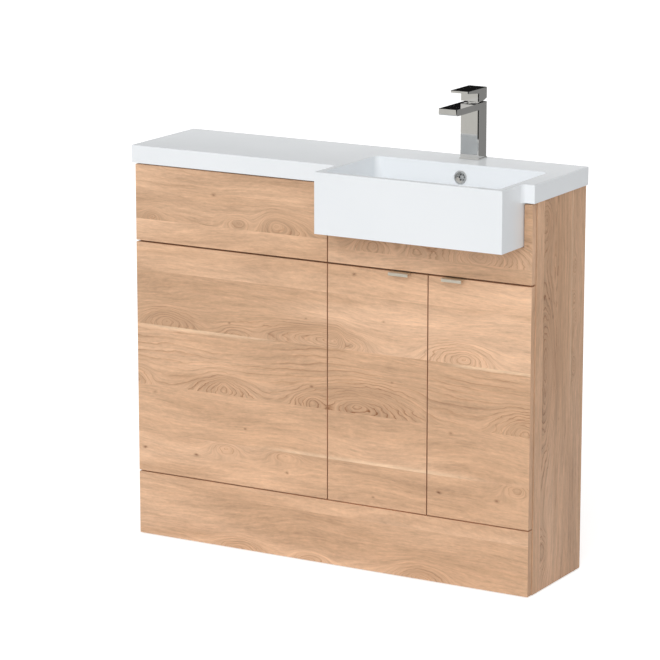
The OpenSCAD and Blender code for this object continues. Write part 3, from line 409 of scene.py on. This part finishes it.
def merged(node):
    """The same copy, with its flat faces whole."""
    shape = welded(node)
    flat = math.radians(1)
    bmesh.ops.dissolve_limit(shape, angle_limit=flat, verts=shape.verts, edges=shape.edges)
    return shape


crease = math.radians(38)   # an edge that turns further than this is a real edge


def kept(made):
    """Keeps what a piece's modifiers make of it as the piece's own mesh."""
    graph = bpy.context.evaluated_depsgraph_get()
    mesh = bpy.data.meshes.new_from_object(made.evaluated_get(graph), depsgraph=graph)
    made.modifiers.clear()
    made.data = mesh


def settled(made, kind, **settings):
    """Puts a modifier on a piece and keeps what it makes."""
    step = made.modifiers.new(kind.lower(), kind)
    for name, value in settings.items():
        setattr(step, name, value)
    kept(made)


def smoothed(made):
    """Curved faces look smooth, and real edges stay sharp."""
    made.data.shade_smooth()
    made.data.set_sharp_from_angle(angle=crease)


def piece(name, shape, materials, edge=0.0, steps=2):
    """A new object from a bmesh. Its edges are rounded to a radius, its curved faces are
    smooth, and its large faces stay flat up to the rounding."""
    mesh = bpy.data.meshes.new(name)
    shape.to_mesh(mesh)
    shape.free()
    for material in materials:
        mesh.materials.append(material)
    made = bpy.data.objects.new(name, mesh)
    bpy.context.scene.collection.objects.link(made)
    if edge:
        settled(made, "BEVEL", width=edge, segments=steps, angle_limit=crease)
    smoothed(made)
    settled(made, "WEIGHTED_NORMAL", mode="FACE_AREA", weight=100, keep_sharp=True)
    return made


def fit(made, slot, *nodes):
    """The piece rides with these CAD nodes and stands for them. The slot is not used."""
    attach(made, body_of[nodes[0]])
    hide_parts(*nodes)
    return made


def board(node, prints, edge=0.0006):
    """A cabinet board: prints give the material for faces that look along X, Y and Z, and
    for those that look one way alone, such as +Y for the back and -Z for the underside."""
    shape = merged(node)
    kinds = list(dict.fromkeys(prints.values()))
    for face in shape.faces:
        n = face.normal
        axis = max(range(3), key=lambda k: abs(n[k]))
        key = ("-" if n[axis] < 0 else "+") + "XYZ"[axis]
        face.material_index = kinds.index(prints.get(key, prints["XYZ"[axis]]))
    return fit(piece("board_" + node, shape, kinds, edge), "oak_decor", node)


side_faces = {"X": oak_side, "Y": oak_tape, "Z": raw_edge, "+Y": raw_edge}
for node in ("wc_side_left", "wc_side_right", "vanity_side_left", "vanity_side_right"):
    board(node, side_faces)


# Rails, base and shelf: the same board between the side panels, its grain running across
# the unit. Only the edges that show have tape, the rest is sawn chipboard.
oak_flat = oak_print(
    "oak_flat", "X", "Y",
    staves=((-1.0, 0.0, 0.25), (-0.02, -0.02, 0.25), (0.09, 0.02, 0.2)),
    figures=((1, 0.2, -0.03, 0.15, 0.15, 0.04, 6),
             (1, -0.3, -0.03, 0.12, 0.12, 0.04, 6)))
oak_front = oak_print(
    "oak_front", "X", "Z",
    staves=((-1.0, -0.09, 0.16), (0.115, 0.0, 0.14), (0.245, 0.02, 0.10), (0.357, -0.01, 0.75),
            (0.498, -0.05, 0.16), (0.622, 0.025, 0.10), (0.740, -0.05, 0.26)),
    figures=((0, -0.23, 0.004, 0.075, 0.075, 0.034, 5),
             (0, -0.045, 0.002, 0.050, 0.050, 0.024, 4),
             (0, 0.235, 0.002, 0.075, 0.075, 0.040, 6),
             (1, -0.265, 0.232, 0.050, 0.050, 0.022, 4),
             (1, -0.110, 0.236, 0.060, 0.060, 0.020, 3),
             (1, 0.47, 0.238, 0.045, 0.045, 0.025, 4),
             (3, -0.270, 0.380, 0.020, 0.020, 0.020, 2),
             (3, -0.270, 0.364, 0.085, 0.085, 0.048, 6),
             (3, -0.50, 0.368, 0.045, 0.045, 0.040, 4),
             (3, 0.075, 0.374, 0.140, 0.165, 0.062, 8),
             (3, -0.040, 0.368, 0.055, 0.040, 0.036, 5),
             (3, 0.49, 0.366, 0.090, 0.080, 0.060, 8),
             (4, -0.42, 0.510, 0.070, 0.085, 0.040, 6),
             (4, 0.02, 0.514, 0.205, 0.030, 0.042, 10),
             (4, 0.060, 0.510, 0.030, 0.050, 0.030, 5),
             (4, 0.34, 0.511, 0.110, 0.075, 0.042, 7),
             (4, -0.24, 0.500, 0.05, 0.05, 0.026, 3),
             (6, -0.225, 0.754, 0.045, 0.030, 0.020, 4),
             (6, -0.130, 0.757, 0.050, 0.090, 0.040, 7),
             (6, -0.455, 0.748, 0.03, 0.03, 0.02, 3)),
    knots=((-0.482, 0.207, 0.009, 0.8), (-0.343, 0.207, 0.008, 0.8), (-0.104, 0.197, 0.008, 0.6),
           (0.280, 0.206, 0.009, 0.9), (0.421, 0.207, 0.010, 0.7), (0.067, 0.669, 0.008, 0.7),
           (0.141, 0.571, 0.007, 0.5), (-0.292, 0.811, 0.010, 0.6), (-0.253, 0.524, 0.006, 0.6),
           (-0.040, 0.404, 0.007, 0.7), (-0.213, 0.285, 0.006, 0.6), (-0.055, 0.557, 0.005, 0.5),
           (0.162, 0.438, 0.006, 0.6), (0.308, 0.343, 0.009, 0.5), (0.116, 0.172, 0.006, 0.5),
           (-0.453, 0.341, 0.009, 0.5)),
    cut_glow=((0.498, -0.30, 0.20, -1), (0.498, 0.42, 0.14, -1), (0.245, 0.10, 0.30, 1)),
    # painted light: the fronts' print is lighter towards the right
    painted_light_slope=0.05)
rail_faces = {"X": raw_edge, "Y": oak_front, "Z": raw_edge, "-Z": oak_flat}
for node in ("wc_top_rails", "wc_mid_rail", "wc_low_rail", "vanity_back_rails",
             "vanity_front_rail"):
    board(node, rail_faces)
flat_faces = {"X": raw_edge, "Y": oak_front, "Z": oak_flat}
for node in ("vanity_base", "vanity_shelf"):
    board(node, flat_faces)


# Dowels: turned beech pins with fluted sides, glued half in a board's end and half in the
# side panel. The flutes let the glue out, and the ends are chamfered.
def solids(node):
    """The lowest and highest corner of every separate solid in a CAD node."""
    shape = welded(node)
    found, left = [], set(shape.verts)
    while left:
        island, edge = set(), {left.pop()}
        while edge:
            island |= edge
            edge = {e.other_vert(v) for v in edge for e in v.link_edges} - island
        left -= island
        found.append([Vector(f(v.co[k] for v in island) for k in range(3)) for f in (min, max)])
    shape.free()
    return sorted(found, key=lambda box: [round(c, 4) for c in box[0]])


def lying_across(node):
    """Where the round solids of a CAD node lie, each along X, and one's radius and length."""
    boxes = solids(node)
    low, high = boxes[0]
    places = [(sum(box, Vector()) / 2, (1, 0, 0)) for box in boxes]
    return places, (high.z - low.z) / 2, high.x - low.x


class Grower:
    """A Geometry Nodes tree that makes one piece from named sizes and sets it at each place."""

    def __init__(self, name, *sizes):
        self.tree = bpy.data.node_groups.new(name, "GeometryNodeTree")
        kinds = {"Places": "Geometry", **dict.fromkeys(sizes, "Float"), "Finish": "Material"}
        self.ids = {name: self.tree.interface.new_socket(
            name, in_out="INPUT", socket_type="NodeSocket" + kind).identifier
            for name, kind in kinds.items()}
        self.tree.interface.new_socket(
            "Pieces", in_out="OUTPUT", socket_type="NodeSocketGeometry")
        self.given = self.tree.nodes.new("NodeGroupInput")

    def size(self, name):
        return Socket(self.tree, self.given.outputs[name])

    def node(self, kind, settings=None, inputs=None, out=0):
        return Socket(self.tree).node(kind, settings, inputs, out)

    def rod(self, radius, length, middle, sides=32, cuts=1):
        """A round rod along Z, its middle at a height."""
        rod = self.node("GeometryNodeMeshCylinder", {}, {
            "Vertices": sides, "Side Segments": cuts, "Radius": radius, "Depth": length}, "Mesh")
        return self.moved(rod, middle)

    def turned(self, sides, cuts, chamfer_from, side=lambda at: 1):
        """A rod turned on a lathe. Its ends are chamfered from a share of its length on, and
        side gives the share of the radius that is left at a place."""
        rod = self.rod(1.0, 1.0, 0.0, sides, cuts)
        at = self.node("GeometryNodeInputPosition").axes()
        end = at["Z"].math("ABSOLUTE").between(chamfer_from, 0.5)
        wide = self.size("Radius") * side(at) * (1 - end * self.size("Chamfer"))
        spot = rod.place(at["X"] * wide, at["Y"] * wide, at["Z"] * self.size("Length"))
        return self.node("GeometryNodeSetPosition", {}, {"Geometry": rod, "Position": spot})

    def moved(self, shape, height, turn=(0.0, 0.0, 0.0)):
        up = self.node("ShaderNodeCombineXYZ", {}, {"Z": height})
        return self.node("GeometryNodeTransform", {}, {
            "Geometry": shape, "Translation": up, "Rotation": turn})

    def joined(self, *shapes):
        made = self.tree.nodes.new("GeometryNodeJoinGeometry")
        for shape in shapes:
            self.tree.links.new(shape.out, made.inputs[0])
        return Socket(self.tree, made.outputs[0])

    def crossed(self, head, depth, *heights):
        """A round head with the driver's cross cut out of it, by bars about each height."""
        long, short = self.size("Head radius") * 1.1, self.size("Cross width")
        bars = []
        for height in heights:
            for wide in ((long, short), (short, long)):
                bar = self.node("GeometryNodeMeshCube", {}, {
                    "Size": head.place(*wide, depth)}, "Mesh")
                bars.append(self.moved(bar, height))
        cut = self.tree.nodes.new("GeometryNodeMeshBoolean")
        cut.operation = "DIFFERENCE"
        self.tree.links.new(head.out, cut.inputs["Mesh 1"])
        for bar in bars:
            self.tree.links.new(bar.out, cut.inputs["Mesh 2"])
        return Socket(self.tree, cut.outputs["Mesh"])

    def close(self, shape):
        """Sets the shape at every place, turned as the place says, and gives it its finish."""
        turn = self.node("GeometryNodeInputNamedAttribute", {"data_type": "FLOAT_VECTOR"},
                         {"Name": "turn"})
        turn = self.node("FunctionNodeEulerToRotation", {}, {0: turn})
        set_out = self.node("GeometryNodeInstanceOnPoints", {}, {
            "Points": self.size("Places"), "Instance": shape, "Rotation": turn})
        real = self.node("GeometryNodeRealizeInstances", {}, {"Geometry": set_out})
        done = self.node("GeometryNodeSetMaterial", {}, {
            "Geometry": real, "Material": self.size("Finish")})
        out = self.tree.nodes.new("NodeGroupOutput")
        self.tree.links.new(done.out, out.inputs["Pieces"])

    def grow(self, name, places, material, **sizes):
        """Runs the tree on places, each a point and the way that the piece's Z looks there."""
        mesh = bpy.data.meshes.new(name)
        mesh.from_pydata([spot for spot, way in places], [], [])
        turn = mesh.attributes.new("turn", "FLOAT_VECTOR", "POINT")
        for data, (spot, way) in zip(turn.data, places):
            data.vector = Vector(way).to_track_quat("Z", "Y").to_euler()
        made = bpy.data.objects.new(name, mesh)
        bpy.context.scene.collection.objects.link(made)
        grown = made.modifiers.new("grown", "NODES")
        grown.node_group = self.tree
        for size, value in {**sizes, "Finish": material}.items():
            grown[self.ids[size.replace("_", " ")]] = value
        kept(made)
        smoothed(made)
        return made


beech, beech_shader, beech_spot = finish("beech", Specular_IOR_Level=0.3)
fleck = beech_spot.noise((900, 900, 900), 2, 0.6)
vein = beech_spot.noise((90, 600, 600), 2, 0.6)
beech_tone = vein.between(-0.2, 0.2).mix(paint(190, 150, 108), paint(222, 189, 148))
beech_tone.scaled(1 + fleck * 0.25).feed(beech_shader, "Base Color")
(0.6 + fleck * 0.2).feed(beech_shader, "Roughness")
relief(beech_shader, vein, 0.0001)

dowel = Grower("fluted_dowel", "Radius", "Length", "Flute", "Chamfer")
flutes = 12


def fluted(at):
    """1 on the dowel's ridges, and less in its flutes."""
    ring = at["Y"].math("ARCTAN2", at["X"])
    return 1 - dowel.size("Flute") * ((ring * flutes).math("COSINE") + 1) * 0.5


dowel.close(dowel.turned(sides=48, cuts=16, chamfer_from=0.44, side=fluted))
places, radius, length = lying_across("dowels")
fit(dowel.grow("dowel_pins", places, beech, Radius=radius, Length=length, Flute=0.06,
               Chamfer=0.2), "beech", "dowels")


# Cam fittings: a zinc die-cast cam in a round pocket of the board, and a steel bolt from the
# side panel that it grips. A turn of the cam's cross slot pulls the board tight.
def fitting_finish(name, clouds, reach, dark, light, gloss, grain, depth, **fixed):
    """The finish of metal, nylon and rubber fittings. Clouds drift over it from a dark tone to
    a light one, reach being where each is whole. Gloss is its roughness and how far that
    drifts with them. Its grain stands up by depth in metres."""
    made, shader, spot = finish(name, **fixed)
    cloud = spot.noise(*clouds)
    cloud.between(*reach).mix(paint(*dark), paint(*light)).feed(shader, "Base Color")
    (gloss[0] + cloud * gloss[1]).feed(shader, "Roughness")
    relief(shader, spot.noise(*grain), depth)
    return made


zinc = fitting_finish(
    "zinc_plate", clouds=((240, 240, 240), 3, 0.6), reach=(-0.25, 0.25),
    dark=(166, 169, 173), light=(200, 202, 204), gloss=(0.36, 0.25),
    grain=((1500, 1500, 1500), 2, 0.6), depth=0.00003, Metallic=1.0)
fit(piece("cams_and_bolts", merged("cam_fittings"), [zinc], edge=0.0003),
    "steel", "cam_fittings")


# Unit connectors: steel bolts and sleeve nuts with flat round heads, through both middle side
# panels. Each head has a cross for the driver.
bolt = Grower("connector_bolt", "Radius", "Length", "Head radius", "Head height", "Cross width",
              "Cross depth")
shank = bolt.rod(bolt.size("Radius"), bolt.size("Length"), 0.0)
half, head_h = bolt.size("Length") * 0.5, bolt.size("Head height")
heads = bolt.joined(*[bolt.rod(bolt.size("Head radius"), head_h, (half + head_h * 0.5) * way)
                      for way in (-1, 1)])
heads = bolt.crossed(heads, bolt.size("Cross depth") * 2, (half + head_h) * -1, half + head_h)
bolt.close(bolt.joined(shank, heads))
bolt_head = 0.0015
places, radius, length = lying_across("unit_connectors")
fit(bolt.grow("connector_bolts", places, zinc, Radius=0.00395, Length=length - bolt_head * 2,
              Head_radius=radius, Head_height=bolt_head, Cross_width=0.0016,
              Cross_depth=0.0008), "steel", "unit_connectors")


# Glides: white nylon feet nailed under the side panels, which keep the chipboard off a wet
# floor. They are moulded, with an eased rim.
nylon = fitting_finish(
    "white_nylon", clouds=((160, 160, 160), 2, 0.5), reach=(-0.25, 0.25),
    dark=(224, 224, 219), light=(235, 235, 231), gloss=(0.46, 0.2),
    grain=((1800, 1800, 1800), 1, 0.5), depth=0.00002, Specular_IOR_Level=0.45)
fit(piece("nailed_glides", merged("glides"), [nylon], edge=0.0004), "nylon", "glides")


# Shelf pins: four turned steel pins, pushed half into the vanity unit's side panels. The
# shelf lies loose on them.
pin = Grower("turned_pin", "Radius", "Length", "Chamfer")
pin.close(pin.turned(sides=32, cuts=20, chamfer_from=0.45))
places, radius, length = lying_across("shelf_pins")
fit(pin.grow("steel_shelf_pins", places, zinc, Radius=radius, Length=length, Chamfer=0.12),
    "steel", "shelf_pins")


# The fixed fronts: two panels of the toilet unit, the panel over the doors, cut out round
# the basin, and the plinth. The oak runs on from one to the next, with taped edges.
front_faces = {"X": oak_side, "Y": oak_front, "Z": oak_flat}
# Painted shade: the fascia's oak print is real, but both of its staves are printed darker to stand
# in for the shade that the basin casts on the band below it.
oak_fascia_painted_shade = oak_print(
    "oak_fascia_painted_shade", "X", "Z", staves=((-1.0, -0.09, 0.12), (0.7225, -0.10, 0.30)),
    figures=((1, 0.115, 0.738, 0.055, 0.055, 0.045, 5),
             (1, 0.220, 0.740, 0.050, 0.050, 0.040, 4),
             (1, 0.375, 0.742, 0.125, 0.110, 0.062, 12)),
    knots=((0.488, 0.775, 0.007, 0.5),))
board("wc_access_panel", front_faces)
board("wc_lower_panel", front_faces)
board("vanity_fascia", {"X": oak_side, "Y": oak_fascia_painted_shade, "Z": oak_flat})
board("plinth", front_faces)


# What holds the fixed fronts: nylon clips for the plinth, nylon pads behind the panels, and
# cross-head chipboard screws through the rails. Bumpers stop the doors.
for name, node, edge in (("plinth_clip_blocks", "plinth_clips", 0.0006),
                         ("pads_behind_fronts", "panel_spacers", 0.0002),
                         ("clear_bumpers", "door_bumpers", 0.0004)):
    fit(piece(name, merged(node), [nylon], edge), "nylon", node)

# the head's underside is at the place, and the shank runs down from it and ends in a point
screw = Grower("cross_head_screw", "Radius", "Length", "Head radius", "Head height", "Pitch",
               "Cross width")
screw_r, head_r, head_h = (screw.size(name) for name in ("Radius", "Head radius", "Head height"))
core_r, helix_r, crest_r = screw_r * 0.8, screw_r * 0.85, screw_r * 0.15
tip = screw_r * 2
shank_l = screw.size("Length") - tip
shank = screw.rod(core_r, shank_l, shank_l * -0.5)
point = screw.node("GeometryNodeMeshCone", {}, {
    "Vertices": 24, "Radius Top": 0.0, "Depth": tip, "Radius Bottom": core_r}, "Mesh")
point = screw.moved(point, shank_l * -1, (math.pi, 0.0, 0.0))
helix = screw.node("GeometryNodeCurveSpiral", {}, {
    "Resolution": 14, "Rotations": shank_l / screw.size("Pitch"), "Start Radius": helix_r,
    "End Radius": helix_r, "Height": shank_l})
crest = screw.node("GeometryNodeCurvePrimitiveCircle", {"mode": "RADIUS"}, {
    "Resolution": 3, "Radius": crest_r}, "Curve")
thread = screw.moved(screw.node("GeometryNodeCurveToMesh", {}, {
    "Curve": helix, "Profile Curve": crest, "Fill Caps": True}), shank_l * -1)
head = screw.node("GeometryNodeMeshCone", {}, {
    "Vertices": 32, "Radius Top": head_r * 0.86, "Radius Bottom": head_r, "Depth": head_h}, "Mesh")
screw.close(screw.joined(shank, point, thread, screw.crossed(head, head_h, head_h)))


def screws(name, node, looks, radius, head_r, head_h):
    """Cross-head screws where a CAD node has its own. Looks gives the way that the head of
    the screw at a place faces."""
    places = []
    for low, high in solids(node):
        middle = (low + high) / 2
        axis = max(range(3), key=lambda k: high[k] - low[k])
        look = Vector(looks(middle))
        top = (high if look[axis] > 0 else low)[axis]
        spot = middle.copy()
        spot[axis] = top - head_h * look[axis]
        places.append((spot, look))
    low, high = solids(node)[0]
    length = max(high - low) - head_h
    return fit(screw.grow(name, places, zinc, Radius=radius, Length=length, Head_radius=head_r,
                          Head_height=head_h, Pitch=0.0018, Cross_width=0.0011), "steel", node)


screws("panel_fixing_screws", "panel_screws", lambda spot: (0, 1, 0),
       radius=0.002, head_r=0.004, head_h=0.002)


# Wall brackets: four pressed steel angles inside the back of the cabinet, with a hole for
# the wall's screw, each held to its side panel by a screw.
fit(piece("wall_angles", merged("wall_brackets"), [zinc], edge=0.0003), "steel", "wall_brackets")
bracket_places = sorted(sum(box, Vector()).x / 2 for box in solids("bracket_screws"))


def into_the_cabinet(spot):
    """The first and third bracket from the left have their screw's head on the right, and
    the others on the left."""
    this = min(range(len(bracket_places)), key=lambda k: abs(bracket_places[k] - spot.x))
    return (1 if this % 2 == 0 else -1, 0, 0)


screws("wall_angle_screws", "bracket_screws", into_the_cabinet,
       radius=0.002, head_r=0.0036, head_h=0.0018)


# The access panel's fixings: ball-headed nylon studs screwed in its back, which push into
# split nylon sockets in the rails, so that it pulls off by hand to reach the cistern.
for name, node in (("ball_studs", "panel_studs"), ("stud_sockets", "panel_sockets")):
    fit(piece(name, merged(node), [nylon], edge=0.0002), "nylon", node)


# The doors: the same board, drilled at the back for the hinge cups and in the top edge for
# the handles. Both hang on their hinges and ride with them.
board("door_left", front_faces)
board("door_right", front_faces)


# The handles: strips of aluminium folded down at the front, satin anodised in a warm grey.
# Each lies on its door's top edge, held by two countersunk screws.
satin = fitting_finish(
    "satin_anodised", clouds=((50, 1400, 1400), 2, 0.6), reach=(-0.25, 0.25),
    dark=(208, 200, 184), light=(224, 217, 202), gloss=(0.38, 0.2),
    grain=((50, 1400, 1400), 2, 0.6), depth=0.00002, Metallic=1.0)
for side in ("left", "right"):
    fit(piece("folded_handle_" + side, merged("handle_" + side), [satin], edge=0.0004, steps=3),
        "aluminium", "handle_" + side)
    fit(piece("handle_fixings_" + side, merged("handle_screws_" + side), [zinc], edge=0.0002),
        "steel", "handle_screws_" + side)


# The hinges: pressed steel, nickel plated. A mounting plate and an arm sit on the side panel,
# a cup in the door, and a link swings between them on two pins.
nickel = fitting_finish(
    "nickel_plate", clouds=((120, 120, 300), 2, 0.5), reach=(-0.25, 0.25),
    dark=(186, 184, 178), light=(206, 204, 198), gloss=(0.33, 0.16),
    grain=((900, 900, 900), 1, 0.5), depth=0.00002, Metallic=1.0)
for node in ("hinge_plates", "hinge_arms", "hinge_cups_left", "hinge_cups_right",
             "hinge_links_left", "hinge_links_right"):
    fit(piece("nickel_" + node, merged(node), [nickel], edge=0.00025), "steel", node)
vanity_middle = 0.25
screws("euro_screws", "hinge_plate_screws",
       lambda spot: (1 if spot.x < vanity_middle else -1, 0, 0),
       radius=0.0025, head_r=0.0042, head_h=0.0016)


# The basin and worktop: one casting of marble dust in resin, sprayed with a hard white gel
# coat in the mould. Its rims are rounded, and the bowl's walls lean and turn with a radius.
cast_white, cast_shader, cast_spot = finish("cast_white", Specular_IOR_Level=0.45)
cast_tone = cast_spot.noise((3, 3, 3), 2, 0.5).between(-0.3, 0.3)
cast_tone.mix(paint(242, 246, 249), paint(246, 249, 252)).feed(cast_shader, "Base Color")
(0.19 + cast_spot.noise((14, 14, 14), 2, 0.5) * 0.06).feed(cast_shader, "Roughness")
relief(cast_shader, cast_spot.noise((60, 60, 60), 2, 0.5), 0.00002)

near = 1e-5               # for what lies in a plane
in_rim = 0.01             # the bowl's edges lie further in than this from the basin's sides
behind_overflow = 0.004   # the bowl's back edge lies within this behind the overflow's middle
tap_hole_reach = 0.03     # the tap hole's edge lies within this of the tap's middle
outer_r, outer_steps = 0.0025, 4
bowl_rim_r, bowl_rim_steps = 0.004, 6
shape = merged("basin_worktop")
top_low, top_high = (Vector(corner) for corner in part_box("basin_worktop"))
overflow = sum((Vector(c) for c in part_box("overflow_ring")), Vector()) / 2
tap = sum((Vector(c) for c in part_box("tap_base_ring")), Vector()) / 2
basin_front_x = [v.co.x for v in shape.verts if v.co.y < top_low.y + near]
basin_left, basin_right = min(basin_front_x), max(basin_front_x)


def rounded(shape, chosen, radius, steps):
    """Rounds the convex edges that pass the test, which takes an edge and its middle."""
    edges = [e for e in shape.edges
             if e.is_manifold and e.calc_face_angle() > crease and e.calc_face_angle_signed() > 0
             and chosen(e, (e.verts[0].co + e.verts[1].co) / 2)]
    bmesh.ops.bevel(shape, geom=edges, offset=radius, segments=steps, profile=0.5,
                    affect="EDGES", clamp_overlap=True)


def on_top(edge):
    return all(abs(v.co.z - top_high.z) < near for v in edge.verts)


def in_bowl(spot):
    return (basin_left + in_rim < spot.x < basin_right - in_rim and
            top_low.y + in_rim < spot.y < overflow.y + behind_overflow)


def outer(edge, spot):
    """An edge round the top, a corner at its ends or the basin's, or one under the basin."""
    if on_top(edge):
        return not in_bowl(spot) and (spot.xy - tap.xy).length > tap_hole_reach
    upright = (edge.verts[0].co - edge.verts[1].co).xy.length < near
    on_end = abs(abs(spot.x) - top_high.x) < near
    at_front = spot.y < top_low.y + near
    at_side = min(abs(spot.x - basin_left), abs(spot.x - basin_right)) < near
    under_basin = abs(spot.z - top_low.z) < near and (at_front or at_side)
    return (upright and (on_end or (at_side and at_front))) or under_basin


def bowl_rim(edge, spot):
    return in_bowl(spot) and on_top(edge)


rounded(shape, outer, outer_r, outer_steps)
rounded(shape, bowl_rim, bowl_rim_r, bowl_rim_steps)
fit(piece("cast_basin_worktop", shape, [cast_white], edge=0.0008), "cast_marble",
    "basin_worktop")


# The overflow ring and the basin's waste: turned brass, polished and chromium plated. The
# waste's flange is bedded in the bowl and pulled down by a nylon nut on a rubber washer.
chrome = fitting_finish(
    "chrome", clouds=((40, 40, 12), 2, 0.5), reach=(-0.3, 0.3),
    dark=(205, 204, 201), light=(211, 210, 207), gloss=(0.03, 0.02),
    grain=((25, 25, 25), 1, 0.5), depth=0.000004, Metallic=1.0)
for name, node, edge in (("overflow_trim", "overflow_ring", 0.0005),
                         ("slotted_waste", "waste_body", 0.0004),
                         ("pop_up_plug", "waste_plug", 0.0004)):
    fit(piece(name, merged(node), [chrome], edge, steps=3), "chrome", node)
fit(piece("waste_back_nut", merged("waste_nut"), [nylon], edge=0.0006), "nylon", "waste_nut")
rubber = fitting_finish(
    "black_rubber", clouds=((400, 400, 400), 2, 0.6), reach=(-0.2, 0.25),
    dark=(26, 26, 27), light=(44, 44, 45), gloss=(0.75, 0.2),
    grain=((400, 400, 400), 2, 0.6), depth=0.00005, Specular_IOR_Level=0.3)
fit(piece("rubber_washer", merged("waste_washer"), [rubber], edge=0.0008),
    "rubber", "waste_washer")


# The tap: a square brass body with a flat spout, milled, polished and chromium plated, on a
# thin base ring. A ceramic cartridge inside it is held by a brass nut.
for name, node in (("square_base_ring", "tap_base_ring"), ("square_tap_body", "tap_body"),
                   ("brass_cartridge_nut", "cartridge_nut")):
    fit(piece(name, merged(node), [chrome], edge=0.0004, steps=3), "chrome", node)
for name, node in (("ceramic_cartridge", "tap_cartridge"), ("turning_yoke", "cartridge_yoke")):
    fit(piece(name, merged(node), [nylon], edge=0.0003), "nylon", node)


# The aerator: a round insert in the spout's underside, its face pierced with small holes
# that break the water up.
fit(piece("pierced_aerator", merged("tap_aerator"), [chrome], edge=0.0002),
    "chrome", "tap_aerator")


# The lever: a milled block over the body with a thin plate that reaches forward, on a steel
# stem. A grub screw in its back holds it, under a round cover.
fit(piece("flat_lever", merged("tap_lever"), [chrome], edge=0.0004, steps=3),
    "chrome", "tap_lever")
fit(piece("lever_cover", merged("lever_plug"), [chrome], edge=0.0003), "chrome", "lever_plug")
for name, node in (("square_stem", "tap_stem"), ("grub_screw", "lever_screw")):
    fit(piece(name, merged(node), [zinc], edge=0.0003), "steel", node)


# The tap's fixing under the deck: a threaded steel stud in the body, and a horseshoe plate
# that a hexagon nut on the stud pulls up against the worktop.
for name, node in (("tap_threaded_stud", "tap_stud"), ("horseshoe_plate", "tap_clamp_plate"),
                   ("hexagon_nut", "tap_nut")):
    fit(piece(name, merged(node), [zinc], edge=0.0003), "steel", node)
